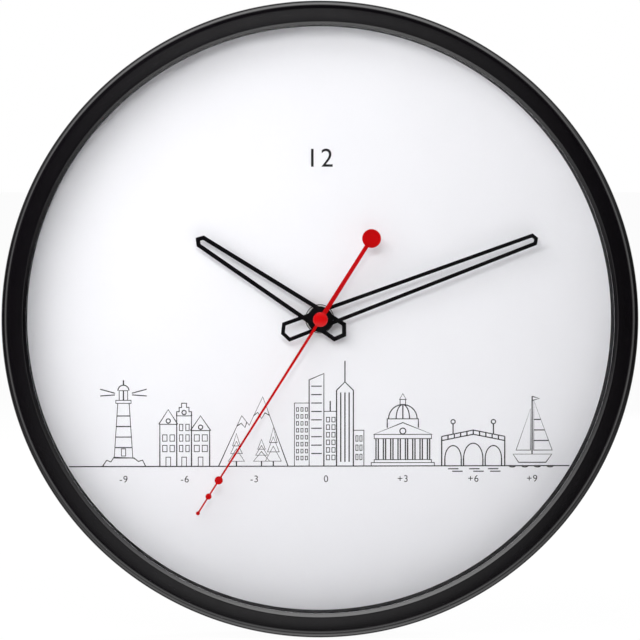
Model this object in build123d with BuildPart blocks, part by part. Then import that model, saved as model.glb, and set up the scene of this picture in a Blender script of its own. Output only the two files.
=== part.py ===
from build123d import *
import os
from math import cos, degrees, hypot, pi, radians, sin

os.makedirs("parts", exist_ok=True)

# A round wall clock: deep black rim, flat glass, thin dial, outline hands and a quartz movement.
# The dial faces -Y, +Z is up, and the wall is the plane y = 0.
# The origin is the centre of the keyhole's entry hole, which lies on the wall plane.
# A depth is a distance in front of the wall, so that depth d lies at y = -d.

# Driving sizes of the whole clock
rim_diameter = 300.0
hanger_inset = 58.0
rim_face_width = 9.9
rim_face_slope = 0.7
rim_bevel = 1.7
rim_land = 1.3
rim_wall = 2.5
rim_edge_radius = 4.2
rim_mouth_radius = 0.5
rim_heel_chamfer = 0.6
inner_wall = 2.2
glass_rebate = 2.6
glass_thickness = 2.0
glass_headroom = 2.1
dial_thickness = 0.5
plate_thickness = 2.0

# Clearances
glass_side_gap = 0.4
spacer_side_gap = 0.2
plate_side_gap = 0.3
running_gap = 0.05
press_gap = 0.02
thread_gap = 0.05
hole_gap = 0.2

# Rim screws
rim_screw_count = 8
rim_screw_first_angle = 22.5
rim_screw_radius = 1.4
rim_screw_length = 9.0
rim_screw_head_radius = 2.3
rim_screw_head_height = 1.8
boss_merge = 0.9

# Hanging bracket and its screws
bracket_steel = 1.5
bracket_half_width = 17.0
bracket_foot = 10.0
bracket_below = 9.0
bracket_above = 17.0
bracket_bend_radius = 1.0
bracket_corner_radius = 3.0
keyhole_entry_radius = 5.0
keyhole_slot_radius = 2.3
keyhole_slot_rise = 9.0
hanger_boss_radius = 3.4
hanger_boss_height = 4.0
hanger_screw_spacing = 15.0
hanger_screw_radius = 1.3
hanger_screw_length = 6.0
hanger_screw_head_radius = 2.5
hanger_screw_head_height = 1.7

# Ribs of the back plate
rib_count = 12
rib_first_angle = 15.0
rib_thickness = 1.2
rib_height = 2.5
rib_inner_radius = 46.0
rib_ring_inset = 8.2
locator_thickness = 2.0
locator_length = 12.0
locator_height = 5.0
locator_gap = 0.3

# Stack of the movement, from the wall forwards
knob_wall_gap = 1.7
knob_height = 2.5
cover_thickness = 1.2
plate_cover_gap = 0.4
train_plate_thickness = 1.0
intermediate_gap = 0.3
intermediate_thickness = 0.6
seconds_gap = 0.8
seconds_thickness = 0.8
third_gap = 0.8
third_thickness = 0.8
centre_gap = 1.1
centre_thickness = 0.8
minute_wheel_gap = 0.5
minute_wheel_thickness = 1.0
hour_wheel_gap = 0.4
hour_wheel_thickness = 1.0
case_front_gap = 0.3
case_wall = 1.6
rubber_thickness = 0.8

# Stack of the hands, from the dial forwards
washer_thickness = 0.5
nut_height = 2.2
bushing_proud = 0.8
hour_collet_gap = 0.5
hour_collet_flange = 0.5
hour_hand_thickness = 0.8
hour_tube_proud = 0.4
minute_bush_gap = 1.0
minute_bush_flange = 0.6
minute_hand_thickness = 0.8
minute_tube_proud = 0.4
second_tube_gap = 0.5
second_tube_stem = 1.0
second_hand_thickness = 0.5
second_tube_proud = 0.8
second_shaft_drop = 0.2
cap_height = 1.5

# Depths that follow from the stacks
knob_back = knob_wall_gap
case_back = knob_back + knob_height
cover_front = case_back + cover_thickness
train_plate_back = cover_front + plate_cover_gap
train_plate_front = train_plate_back + train_plate_thickness
intermediate_back = train_plate_front + intermediate_gap
intermediate_front = intermediate_back + intermediate_thickness
seconds_back = intermediate_front + seconds_gap
seconds_front = seconds_back + seconds_thickness
third_back = seconds_front + third_gap
third_front = third_back + third_thickness
centre_back = third_front + centre_gap
centre_front = centre_back + centre_thickness
minute_wheel_back = centre_front + minute_wheel_gap
minute_wheel_front = minute_wheel_back + minute_wheel_thickness
hour_wheel_back = minute_wheel_front + hour_wheel_gap
hour_wheel_front = hour_wheel_back + hour_wheel_thickness
case_floor = hour_wheel_front + case_front_gap
case_front = case_floor + case_wall
plate_back = case_front + rubber_thickness
plate_front = plate_back + plate_thickness
dial_front = plate_front + dial_thickness
nut_back = dial_front + washer_thickness
nut_front = nut_back + nut_height
bushing_front = nut_front + bushing_proud
hour_collet_back = bushing_front + hour_collet_gap
hour_hand_back = hour_collet_back + hour_collet_flange
hour_hand_front = hour_hand_back + hour_hand_thickness
hour_tube_front = hour_hand_front + hour_tube_proud
minute_bush_back = hour_tube_front + minute_bush_gap
minute_hand_back = minute_bush_back + minute_bush_flange
minute_hand_front = minute_hand_back + minute_hand_thickness
minute_tube_front = minute_hand_front + minute_tube_proud
second_tube_back = minute_tube_front + second_tube_gap
second_hand_back = second_tube_back + second_tube_stem
second_hand_front = second_hand_back + second_hand_thickness
second_tube_front = second_hand_front + second_tube_proud
second_shaft_front = second_tube_front - second_shaft_drop
cap_front = second_hand_front + cap_height
glass_back = cap_front + glass_headroom
glass_front = glass_back + glass_thickness
rim_depth = glass_front + rim_land + rim_bevel

# Radii and heights that follow from the rim
rim_radius = rim_diameter / 2
hang_height = rim_radius - hanger_inset
mouth_radius = rim_radius - rim_face_width
lip_radius = mouth_radius - rim_bevel
rebate_radius = lip_radius + glass_rebate
inner_wall_radius = rebate_radius + inner_wall
skirt_radius = rim_radius - rim_wall
glass_radius = rebate_radius - glass_side_gap
dial_radius = rebate_radius - spacer_side_gap
plate_radius = skirt_radius - plate_side_gap
rib_ring_radius = plate_radius - rib_ring_inset
rim_screw_circle = plate_radius - rim_screw_head_radius
arbor_height = -hang_height

# Hub of the hands
bushing_radius = 4.0
nut_across_flats = 10.0
washer_radius = 6.9
rubber_radius = 8.0
hub_disc_radius = 6.1
hour_collet_radius = 3.3
hour_collet_flange_radius = 4.6
minute_bush_radius = 2.3
minute_bush_flange_radius = 3.4
second_tube_radius = 0.9
cap_radius = 3.5
cap_edge_radius = 0.5

# Arbors and tubes of the movement
seconds_shaft_radius = 0.5
minute_tube_wall = 0.99
hour_tube_wall = 0.95
arbor_radius = 0.5
rotor_arbor_radius = 0.4
pivot_depth = 0.8
setting_shaft_radius = 1.2
minute_pin_radius = 0.8

# Teeth of the going train
seconds_pinion_teeth = 8
third_wheel_teeth = 60
third_pinion_teeth = 8
centre_wheel_teeth = 64
cannon_teeth = 12
minute_wheel_teeth = 36
minute_pinion_teeth = 10
hour_wheel_teeth = 40
setting_teeth = 14
intermediate_pinion_teeth = 10
seconds_wheel_teeth = 50
rotor_pinion_teeth = 8
intermediate_wheel_teeth = 48

# Distances and directions between arbors, angles counted from +X towards +Z
third_distance = 10.2
third_angle = 170.0
minute_distance = 8.0
minute_angle = 0.0
setting_angle = -30.0
intermediate_distance = 10.8
intermediate_angle = 60.0
rotor_distance = 7.0
rotor_angle = 45.0

# Modules that follow from the distances
seconds_third_module = 2 * third_distance / (seconds_pinion_teeth + third_wheel_teeth)
third_centre_module = 2 * third_distance / (third_pinion_teeth + centre_wheel_teeth)
cannon_module = 2 * minute_distance / (cannon_teeth + minute_wheel_teeth)
hour_module = 2 * minute_distance / (minute_pinion_teeth + hour_wheel_teeth)
seconds_module = 2 * intermediate_distance / (intermediate_pinion_teeth + seconds_wheel_teeth)
rotor_module = 2 * rotor_distance / (rotor_pinion_teeth + intermediate_wheel_teeth)
setting_distance = cannon_module * (setting_teeth + minute_wheel_teeth) / 2

# Tooth form as shares of the module and of the tooth pitch
pinion_addendum_share = 0.75
pinion_dedendum_share = 1.35
pinion_tooth_share = 0.42
pinion_tip_share = 0.20
wheel_addendum_share = 0.95
wheel_dedendum_share = 1.30
wheel_tooth_share = 0.40
wheel_tip_share = 0.16
shoulder_height_share = 0.55
shoulder_width_share = 0.28

# Battery, its bay and the case of the movement
battery_diameter = 14.5
battery_length = 50.5
battery_nub_radius = 2.75
battery_nub_length = 1.3
battery_crimp_radius = 1.0
battery_gap = 0.4
contact_gap = 0.85
contact_thickness = 0.4
contact_bump_height = 0.65
contact_bump_radius = 2.2
contact_plate_side = 9.0
contact_strip_width = 2.0
case_side_wall = 1.5
partition_wall = 1.0
wheel_side_gap = 0.86
case_corner_radius = 2.5
seconds_tip_radius = seconds_module * (seconds_wheel_teeth / 2 + wheel_addendum_share)
bay_height = battery_diameter + 2 * battery_gap
case_half_height = seconds_tip_radius + wheel_side_gap + partition_wall + bay_height + case_side_wall
case_half_width = battery_length / 2 + contact_gap + contact_thickness + case_side_wall
chamber_half_width = case_half_width - case_side_wall
chamber_top = case_half_height - case_side_wall
bay_bottom = case_side_wall - case_half_height
bay_top = bay_bottom + bay_height
chamber_bottom = bay_top + partition_wall
battery_height = (bay_bottom + bay_top) / 2
battery_depth = case_floor - battery_gap - battery_diameter / 2

# Posts inside the case
cover_post_radius = 1.8
cover_post_merge = 0.5
cover_screw_radius = 0.75
cover_screw_length = 5.0
cover_screw_head_radius = 1.5
cover_screw_head_height = 0.9
plate_post_radius = 1.7
stake_radius = 0.8
board_post_radius = 1.2
board_stake_radius = 0.6
stator_boss_radius = 1.5
knob_radius = 4.0

# Drive coil and stator
stator_thickness = 1.0
stator_gap_share = 0.36
stator_depth = third_front + centre_gap * stator_gap_share
stator_ring_radius = 6.0
stator_hole_radius = 3.5
stator_notch_radius = 0.5
stator_arm_width = 3.0
core_width = 4.0
core_left = -21.6
core_right = 8.6
core_rise = 22.9
bobbin_flange_radius = 3.3
bobbin_flange_thickness = 0.6
bobbin_wall = 0.5
bobbin_end_gap = 0.2
winding_radius = 3.1
rotor_magnet_radius = 3.0
rotor_magnet_length = 2.8
rotor_pinion_overlap = 0.2

# Circuit board
board_side_gap = 0.6
board_bottom = -3.0
board_top = 19.5
board_thickness = 1.0
board_edge_gap = 0.5
board_depth = intermediate_back + intermediate_gap
chip_side = 5.0
chip_height = 1.4
chip_rise = 11.0
crystal_radius = 1.5
crystal_length = 6.0
crystal_rise = 4.5

# Hands, angles clockwise from twelve
hour_hand_angle = 303.2
minute_hand_angle = 69.55
second_hand_angle = 212.3


def facing(depth, turn=0.0):
    """Plane parallel to the wall, facing the room, centred on the arbor; +x turned clockwise from +X."""
    way = (cos(radians(turn)), 0, -sin(radians(turn)))
    return Plane(origin=(0, -depth, arbor_height), x_dir=way, z_dir=(0, -1, 0))


def hand_plane(depth, angle):
    """The same plane with +x along a hand that points at this angle clockwise from twelve."""
    return facing(depth, turn=angle - 90)


def section():
    """Plane through the arbor for turned pieces: x is the radius and y the depth."""
    return Plane(origin=(0, 0, arbor_height), x_dir=(1, 0, 0), z_dir=(0, 0, -1))


arbor_axis = Axis((0, 0, arbor_height), (0, -1, 0))


def polar(distance, angle, centre=(0.0, 0.0)):
    """Point at a distance and an angle from a centre, seen from the front."""
    return (
        centre[0] + distance * cos(radians(angle)),
        centre[1] + distance * sin(radians(angle)),
    )


def add_disc(back, front, radius, centre=(0.0, 0.0), mode=Mode.ADD):
    """Adds a round disc or pin between two depths to the open part, or cuts it."""
    with BuildSketch(facing(back)) as outline:
        with Locations(centre):
            Circle(radius)
    extrude(outline.sketch, amount=front - back, mode=mode)


def add_block(back, front, left, right, bottom, top, mode=Mode.ADD):
    """Adds a block between two depths and two corners to the open part, or cuts it."""
    with BuildSketch(facing(back)) as outline:
        with Locations(((left + right) / 2, (bottom + top) / 2)):
            Rectangle(right - left, top - bottom)
    extrude(outline.sketch, amount=front - back, mode=mode)


def tooth_points(teeth, module, shares, phase):
    """Outline of a toothed wheel: radial roots, a shoulder above the pitch circle and a flat tip."""
    addendum_share, dedendum_share, tooth_share, tip_share = shares
    pitch_radius = teeth * module / 2
    tip_radius = pitch_radius + addendum_share * module
    root_radius = pitch_radius - dedendum_share * module
    shoulder_radius = pitch_radius + shoulder_height_share * (tip_radius - pitch_radius)
    half_tooth = degrees(pi / teeth * tooth_share)
    half_tip = degrees(pi * module * tip_share / tip_radius / 2)
    half_shoulder = half_tooth + shoulder_width_share * (half_tip - half_tooth)
    flank = (
        (root_radius, half_tooth),
        (pitch_radius, half_tooth),
        (shoulder_radius, half_shoulder),
        (tip_radius, half_tip),
    )
    points = []
    for tooth in range(teeth):
        middle = phase + 360 / teeth * tooth
        points += [polar(radius, middle - half) for radius, half in flank]
        points += [polar(radius, middle + half) for radius, half in reversed(flank)]
    return points


def add_gear(back, front, teeth, module, shares, centre, phase):
    """Adds a toothed disc between two depths to the open part."""
    points = tooth_points(teeth, module, shares, phase)
    with BuildSketch(facing(back)) as outline:
        with BuildLine():
            Polyline(*[(x + centre[0], z + centre[1]) for x, z in points], close=True)
        make_face()
    extrude(outline.sketch, amount=front - back)


def meshing_phase(phase, teeth, angle, other_teeth):
    """Phase of the other gear, at this angle from the first one, that is in mesh with it."""
    return angle + 180 + (180 - (phase - angle) * teeth) / other_teeth


# Form of every pan head, as shares of its radius and height
head_flat_share = 0.5
head_bulge_radius_share = 0.78
head_bulge_height_share = 0.8
head_side_height_share = 0.33
recess_length_share = 1.0
recess_width_share = 0.24
recess_depth_share = 0.5


def add_screw(seat, centre, radius, length, head_radius, head_height):
    """Adds a pan-head screw: head behind the seat, thread in front of it, cross recess in the head."""
    head_back = seat - head_height
    tip = seat + length
    with BuildSketch(section()) as profile:
        with BuildLine():
            flat = Line((0, head_back), (head_radius * head_flat_share, head_back))
            dome = ThreePointArc(
                flat @ 1,
                (head_radius * head_bulge_radius_share, seat - head_height * head_bulge_height_share),
                (head_radius, seat - head_height * head_side_height_share),
            )
            shank = Polyline(
                dome @ 1,
                (head_radius, seat),
                (radius, seat),
                (radius, tip - radius),
                (0, tip),
            )
            Line(shank @ 1, flat @ 0)
        make_face()
    with BuildPart(mode=Mode.PRIVATE) as screw:
        revolve(profile.sketch, axis=arbor_axis)
        for turn in (0, 90):
            with BuildSketch(facing(head_back, turn)) as recess:
                Rectangle(head_radius * recess_length_share, head_radius * recess_width_share)
            recess_depth = head_height * recess_depth_share
            extrude(recess.sketch, amount=recess_depth, mode=Mode.SUBTRACT)
    add(Pos(centre[0], 0, centre[1]) * screw.part)


pinion_shares = (pinion_addendum_share, pinion_dedendum_share, pinion_tooth_share, pinion_tip_share)
wheel_shares = (wheel_addendum_share, wheel_dedendum_share, wheel_tooth_share, wheel_tip_share)

# Places of the arbors
third_place = polar(third_distance, third_angle)
minute_place = polar(minute_distance, minute_angle)
setting_place = polar(setting_distance, setting_angle, minute_place)
intermediate_place = polar(intermediate_distance, intermediate_angle)
rotor_place = polar(rotor_distance, rotor_angle, intermediate_place)

# Places of the posts, as shares of the case's half width and half height
plate_post_shares = ((-0.715, -0.270), (-0.715, 0.486), (-0.072, 0.497), (0.618, 0.145))
plate_posts = [(case_half_width * sx, case_half_height * sz) for sx, sz in plate_post_shares]
cover_post_inset = cover_post_radius - cover_post_merge
cover_post_side = chamber_half_width - cover_post_radius - contact_thickness - running_gap
cover_posts = [
    (side * cover_post_side, height)
    for side in (-1, 1)
    for height in (chamber_bottom + cover_post_inset, chamber_top - cover_post_inset)
]
board_left = plate_posts[-1][0] + plate_post_radius + board_side_gap
board_right = chamber_half_width - contact_thickness - running_gap
board_middle = (board_left + board_right) / 2
board_posts = [
    (board_middle, board_bottom + board_post_radius + board_edge_gap),
    (board_middle, board_top - board_post_radius - board_edge_gap),
]
stator_front = stator_depth + stator_thickness
core_left_middle = core_left + core_width / 2
core_right_middle = core_right - core_width / 2
stator_bosses = [(core_left_middle, core_rise), (core_right_middle, core_rise)]

# Radii of the nested tubes
minute_bore_radius = seconds_shaft_radius + running_gap
minute_tube_radius = minute_bore_radius + minute_tube_wall
hour_bore_radius = minute_tube_radius + running_gap
hour_tube_radius = hour_bore_radius + hour_tube_wall
bushing_bore_radius = hour_tube_radius + running_gap

# Rim: one turned shell with a hollow channel, a lip for the glass and bosses for the screws
with BuildPart() as rim:
    with BuildSketch(section()) as rim_section:
        with BuildLine():
            Polyline(
                (skirt_radius, 0),
                (rim_radius, 0),
                (rim_radius, rim_depth - rim_face_slope),
                (mouth_radius, rim_depth),
                (lip_radius, rim_depth - rim_bevel),
                (lip_radius, glass_front),
                (rebate_radius, glass_front),
                (rebate_radius, plate_front),
                (inner_wall_radius, plate_front),
                (inner_wall_radius, rim_depth - rim_wall),
                (skirt_radius, rim_depth - rim_wall),
                close=True,
            )
        make_face()
        outer_corners = rim_section.vertices().group_by(Axis.X)[-1].sort_by(Axis.Y)
        fillet(outer_corners[-1], radius=rim_edge_radius)
        chamfer(outer_corners[0], length=rim_heel_chamfer)
        mouth_corner = rim_section.vertices().sort_by(Axis.Y)[-1]
        fillet(mouth_corner, radius=rim_mouth_radius)
    revolve(rim_section.sketch, axis=arbor_axis)
    with BuildSketch(facing(plate_front)) as rim_bosses:
        with PolarLocations(rim_screw_circle, rim_screw_count, rim_screw_first_angle):
            Circle((skirt_radius - inner_wall_radius) / 2 + boss_merge)
    extrude(rim_bosses.sketch, amount=rim_depth - rim_wall - plate_front)
    with BuildSketch(facing(plate_front)) as rim_pilots:
        with PolarLocations(rim_screw_circle, rim_screw_count, rim_screw_first_angle):
            Circle(rim_screw_radius + thread_gap)
    extrude(rim_pilots.sketch, amount=rim_screw_length, mode=Mode.SUBTRACT)
rim.part.label = "rim"
export_step(rim.part, "parts/rim.step")

# Glass: a flat disc with a fine ground edge
glass_edge_share = 0.15
with BuildPart() as glass_lens:
    add_disc(glass_back, glass_front, glass_radius)
    chamfer(glass_lens.edges(), length=glass_thickness * glass_edge_share)
glass_lens.part.label = "glass_lens"
export_step(glass_lens.part, "parts/glass_lens.step")

# Spacer ring: the deep black wall between the glass and the dial
with BuildPart() as spacer_ring:
    add_disc(dial_front, glass_back, dial_radius)
    add_disc(dial_front, glass_back, lip_radius, mode=Mode.SUBTRACT)
spacer_ring.part.label = "spacer_ring"
export_step(spacer_ring.part, "parts/spacer_ring.step")

# Dial: a thin white sheet
with BuildPart() as dial:
    add_disc(plate_front, dial_front, dial_radius)
    add_disc(plate_front, dial_front, bushing_radius + hole_gap, mode=Mode.SUBTRACT)
dial.part.label = "dial"
export_step(dial.part, "parts/dial.step")

# Back plate: a ribbed disc with corners that locate the movement and bosses for the bracket
hanger_screw_side = bracket_half_width + bracket_foot / 2
hanger_screw_middle = hang_height + (bracket_above - bracket_below) / 2
hanger_screw_places = [
    (side * hanger_screw_side, hanger_screw_middle + step * hanger_screw_spacing / 2)
    for side in (-1, 1)
    for step in (-1, 1)
]
with BuildPart() as back_plate:
    add_disc(plate_back, plate_front, plate_radius)
    with BuildSketch(facing(plate_back - rib_height)) as ribs:
        Circle(rib_ring_radius)
        Circle(rib_ring_radius - rib_thickness, mode=Mode.SUBTRACT)
        Circle(rib_inner_radius)
        Circle(rib_inner_radius - rib_thickness, mode=Mode.SUBTRACT)
        rib_length = rib_ring_radius - rib_inner_radius
        rib_middle = rib_inner_radius + rib_length / 2 - rib_thickness / 2
        with PolarLocations(rib_middle, rib_count, rib_first_angle):
            Rectangle(rib_length, rib_thickness)
    extrude(ribs.sketch, amount=rib_height)
    locator_x = case_half_width + locator_gap
    locator_z = case_half_height + locator_gap
    for side in (-1, 1):
        for end in (-1, 1):
            outer_x = side * (locator_x + locator_thickness)
            outer_z = end * (locator_z + locator_thickness)
            near_x = sorted((outer_x, side * (locator_x - locator_length)))
            near_z = sorted((outer_z, end * (locator_z - locator_length)))
            inner_x = sorted((outer_x, side * locator_x))
            inner_z = sorted((outer_z, end * locator_z))
            locator_back = plate_back - locator_height
            add_block(locator_back, plate_back, *near_x, *inner_z)
            add_block(locator_back, plate_back, *inner_x, *near_z)
    for place in hanger_screw_places:
        add_disc(plate_back - hanger_boss_height, plate_back, hanger_boss_radius, place)
    for place in hanger_screw_places:
        pilot_front = plate_back - hanger_boss_height - bracket_steel + hanger_screw_length
        pilot_radius = hanger_screw_radius + thread_gap
        add_disc(plate_back - hanger_boss_height, pilot_front, pilot_radius, place, mode=Mode.SUBTRACT)
    with BuildSketch(facing(plate_back)) as plate_holes:
        Circle(bushing_radius + hole_gap)
        with PolarLocations(rim_screw_circle, rim_screw_count, rim_screw_first_angle):
            Circle(rim_screw_radius + hole_gap)
    extrude(plate_holes.sketch, amount=plate_thickness, mode=Mode.SUBTRACT)
back_plate.part.label = "back_plate"
export_step(back_plate.part, "parts/back_plate.step")

# Rim screws: they hold the back plate to the bosses of the rim
with BuildPart() as rim_screws:
    for index in range(rim_screw_count):
        place = polar(rim_screw_circle, rim_screw_first_angle + 360 / rim_screw_count * index)
        add_screw(
            plate_back,
            place,
            rim_screw_radius,
            rim_screw_length,
            rim_screw_head_radius,
            rim_screw_head_height,
        )
rim_screws.part.label = "rim_screws"
export_step(rim_screws.part, "parts/rim_screws.step")

# Hanging bracket: a bent steel strip whose crown lies on the wall plane
bracket_foot_front = plate_back - hanger_boss_height
bracket_foot_back = bracket_foot_front - bracket_steel
bracket_end = bracket_half_width + bracket_foot
with BuildPart() as hanger_bracket:
    with BuildSketch(Plane.XY.offset(-bracket_below)) as bracket_profile:
        with BuildLine():
            Polyline(
                (0, 0),
                (bracket_half_width, 0),
                (bracket_half_width, -bracket_foot_back),
                (bracket_end, -bracket_foot_back),
                (bracket_end, -bracket_foot_front),
                (bracket_half_width - bracket_steel, -bracket_foot_front),
                (bracket_half_width - bracket_steel, -bracket_steel),
                (0, -bracket_steel),
                close=True,
            )
        make_face()
        mirror(about=Plane.YZ)
        bends = bracket_profile.vertices().filter_by_position(
            Axis.X, -bracket_half_width, bracket_half_width
        )
        outer_bends = bends.filter_by_position(Axis.Y, -bracket_foot_back, 0)
        fillet(outer_bends, radius=bracket_bend_radius)
    extrude(bracket_profile.sketch, amount=bracket_below + bracket_above)
    foot_ends = hanger_bracket.edges().filter_by(Axis.Y).group_by(Axis.X)
    fillet(foot_ends[0] + foot_ends[-1], radius=bracket_corner_radius)
    with BuildSketch(Plane.XZ) as keyhole:
        Circle(keyhole_entry_radius)
        with Locations((0, keyhole_slot_rise / 2)):
            Rectangle(2 * keyhole_slot_radius, keyhole_slot_rise)
        with Locations((0, keyhole_slot_rise)):
            Circle(keyhole_slot_radius)
    extrude(keyhole.sketch, amount=bracket_steel, mode=Mode.SUBTRACT)
    for place in hanger_screw_places:
        hole_radius = hanger_screw_radius + hole_gap
        add_disc(bracket_foot_back, bracket_foot_front, hole_radius, place, mode=Mode.SUBTRACT)
hanger_bracket.part.label = "hanger_bracket"
export_step(hanger_bracket.part, "parts/hanger_bracket.step")

# Screws of the hanging bracket
with BuildPart() as hanger_screws:
    for place in hanger_screw_places:
        add_screw(
            bracket_foot_back,
            place,
            hanger_screw_radius,
            hanger_screw_length,
            hanger_screw_head_radius,
            hanger_screw_head_height,
        )
hanger_screws.part.label = "hanger_screws"
export_step(hanger_screws.part, "parts/hanger_screws.step")

# Movement case: a square moulding with a gear chamber, a battery bay and the threaded bushing
slot_side = contact_strip_width + 2 * running_gap
riser_left = board_left + board_edge_gap
riser_right = riser_left + contact_strip_width
strip_bottom = bay_top - contact_strip_width
with BuildPart() as movement_case:
    with BuildSketch(facing(cover_front)):
        RectangleRounded(2 * case_half_width, 2 * case_half_height, case_corner_radius)
    extrude(amount=case_front - cover_front)
    with BuildSketch(facing(case_back)) as bay_outline:
        RectangleRounded(2 * case_half_width, 2 * case_half_height, case_corner_radius)
        with Locations((0, (bay_top + case_half_height) / 2)):
            Rectangle(2 * case_half_width, case_half_height - bay_top, mode=Mode.SUBTRACT)
    extrude(bay_outline.sketch, amount=cover_thickness)
    add_block(
        cover_front,
        case_floor,
        -chamber_half_width,
        chamber_half_width,
        chamber_bottom,
        chamber_top,
        mode=Mode.SUBTRACT,
    )
    add_block(
        case_back,
        case_floor,
        -chamber_half_width,
        chamber_half_width,
        bay_bottom,
        bay_top,
        mode=Mode.SUBTRACT,
    )
    add_disc(case_front, bushing_front, bushing_radius)
    for place in cover_posts:
        add_disc(cover_front, case_floor, cover_post_radius, place)
        pilot_radius = cover_screw_radius + thread_gap
        add_disc(cover_front, cover_front + cover_screw_length, pilot_radius, place, mode=Mode.SUBTRACT)
    for place in plate_posts:
        add_disc(train_plate_front, case_floor, plate_post_radius, place)
        add_disc(train_plate_back, train_plate_front, stake_radius, place)
    for place in board_posts:
        add_disc(board_depth + board_thickness, case_floor, board_post_radius, place)
        add_disc(board_depth, board_depth + board_thickness, board_stake_radius, place)
    for place in stator_bosses:
        add_disc(stator_front, case_floor, stator_boss_radius, place)
        add_disc(stator_depth - stator_thickness, stator_front, stake_radius, place)
    add_disc(minute_wheel_back, case_floor, minute_pin_radius, minute_place)
    for place, radius in (
        (third_place, arbor_radius),
        (intermediate_place, arbor_radius),
        (rotor_place, rotor_arbor_radius),
        (setting_place, arbor_radius),
    ):
        socket_radius = radius + running_gap
        add_disc(case_floor, case_floor + pivot_depth, socket_radius, place, mode=Mode.SUBTRACT)
    add_disc(case_floor, bushing_front, bushing_bore_radius, mode=Mode.SUBTRACT)
    slot_middle = battery_depth
    add_block(
        slot_middle - slot_side / 2,
        slot_middle + slot_side / 2,
        chamber_half_width - contact_thickness - running_gap,
        chamber_half_width,
        bay_top,
        chamber_bottom,
        mode=Mode.SUBTRACT,
    )
    add_block(
        case_floor - contact_thickness - running_gap,
        case_floor,
        riser_left - running_gap,
        riser_right + running_gap,
        bay_top,
        chamber_bottom,
        mode=Mode.SUBTRACT,
    )
movement_case.part.label = "movement_case"
export_step(movement_case.part, "parts/movement_case.step")

# Movement cover: closes the gear chamber and leaves the battery bay open
cover_edge_chamfer = 0.4
with BuildPart() as movement_cover:
    with BuildSketch(facing(case_back)) as cover_outline:
        RectangleRounded(2 * case_half_width, 2 * case_half_height, case_corner_radius)
        with Locations((0, (bay_top - case_half_height) / 2)):
            Rectangle(2 * case_half_width, case_half_height + bay_top, mode=Mode.SUBTRACT)
    extrude(cover_outline.sketch, amount=cover_thickness)
    rear_rim = movement_cover.faces().sort_by(Axis.Y)[-1].edges()
    chamfer(rear_rim, length=cover_edge_chamfer)
    shaft_hole = setting_shaft_radius + running_gap
    add_disc(case_back, cover_front, shaft_hole, setting_place, mode=Mode.SUBTRACT)
    for place in cover_posts:
        hole_radius = cover_screw_radius + hole_gap
        add_disc(case_back, cover_front, hole_radius, place, mode=Mode.SUBTRACT)
movement_cover.part.label = "movement_cover"
export_step(movement_cover.part, "parts/movement_cover.step")

# Screws of the movement cover
with BuildPart() as cover_screws:
    for place in cover_posts:
        add_screw(
            case_back,
            place,
            cover_screw_radius,
            cover_screw_length,
            cover_screw_head_radius,
            cover_screw_head_height,
        )
cover_screws.part.label = "cover_screws"
export_step(cover_screws.part, "parts/cover_screws.step")

# Train plate: carries the rear pivots and is staked on four posts of the case
train_plate_margin = 0.3
post_xs = [x for x, z in plate_posts]
train_plate_left = min(post_xs) - plate_post_radius - train_plate_margin
train_plate_right = max(post_xs) + plate_post_radius + train_plate_margin
train_plate_bottom = plate_posts[0][1] - plate_post_radius
train_plate_top = rotor_place[1] + rotor_magnet_radius
with BuildPart() as train_plate:
    add_block(
        train_plate_back,
        train_plate_front,
        train_plate_left,
        train_plate_right,
        train_plate_bottom,
        train_plate_top,
    )
    fillet(train_plate.edges().filter_by(Axis.Y), radius=plate_post_radius)
    pivot_places = (
        ((0, 0), seconds_shaft_radius),
        (third_place, arbor_radius),
        (intermediate_place, arbor_radius),
        (rotor_place, rotor_arbor_radius),
        (setting_place, setting_shaft_radius),
    )
    for place, radius in pivot_places:
        hole_radius = radius + running_gap
        add_disc(train_plate_back, train_plate_front, hole_radius, place, mode=Mode.SUBTRACT)
    for place in plate_posts:
        hole_radius = stake_radius + press_gap
        add_disc(train_plate_back, train_plate_front, hole_radius, place, mode=Mode.SUBTRACT)
train_plate.part.label = "train_plate"
export_step(train_plate.part, "parts/train_plate.step")

# Rubber washer between the movement and the back plate
with BuildPart() as rubber_washer:
    add_disc(case_front, plate_back, rubber_radius)
    add_disc(case_front, plate_back, bushing_radius + hole_gap, mode=Mode.SUBTRACT)
rubber_washer.part.label = "rubber_washer"
export_step(rubber_washer.part, "parts/rubber_washer.step")

# Steel washer on the dial
with BuildPart() as dial_washer:
    add_disc(dial_front, nut_back, washer_radius)
    add_disc(dial_front, nut_back, bushing_radius + hole_gap, mode=Mode.SUBTRACT)
dial_washer.part.label = "dial_washer"
export_step(dial_washer.part, "parts/dial_washer.step")

# Fixing nut on the bushing
nut_edge_chamfer = 0.4
with BuildPart() as fixing_nut:
    with BuildSketch(facing(nut_back)):
        RegularPolygon(nut_across_flats / 2, 6, major_radius=False)
        Circle(bushing_radius + thread_gap, mode=Mode.SUBTRACT)
    extrude(amount=nut_height)
    nut_rim = fixing_nut.faces().sort_by(Axis.Y)[0].edges().filter_by(GeomType.LINE)
    chamfer(nut_rim, length=nut_edge_chamfer)
fixing_nut.part.label = "fixing_nut"
export_step(fixing_nut.part, "parts/fixing_nut.step")

# Battery cell and its terminal, lying along X in the bay
battery_end = -battery_length / 2
battery_shoulder = battery_length / 2 - battery_nub_length


def cell_plane(x, way=1):
    """Plane square to the battery at this x, centred on it; way is the side of X that it faces."""
    return Plane(origin=(x, -battery_depth, arbor_height + battery_height), z_dir=(way, 0, 0))


with BuildPart() as battery_cell:
    with BuildSketch(cell_plane(battery_end)):
        Circle(battery_diameter / 2)
    extrude(amount=battery_shoulder - battery_end)
    fillet(battery_cell.edges(), radius=battery_crimp_radius)
battery_cell.part.label = "battery_cell"
export_step(battery_cell.part, "parts/battery_cell.step")

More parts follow.
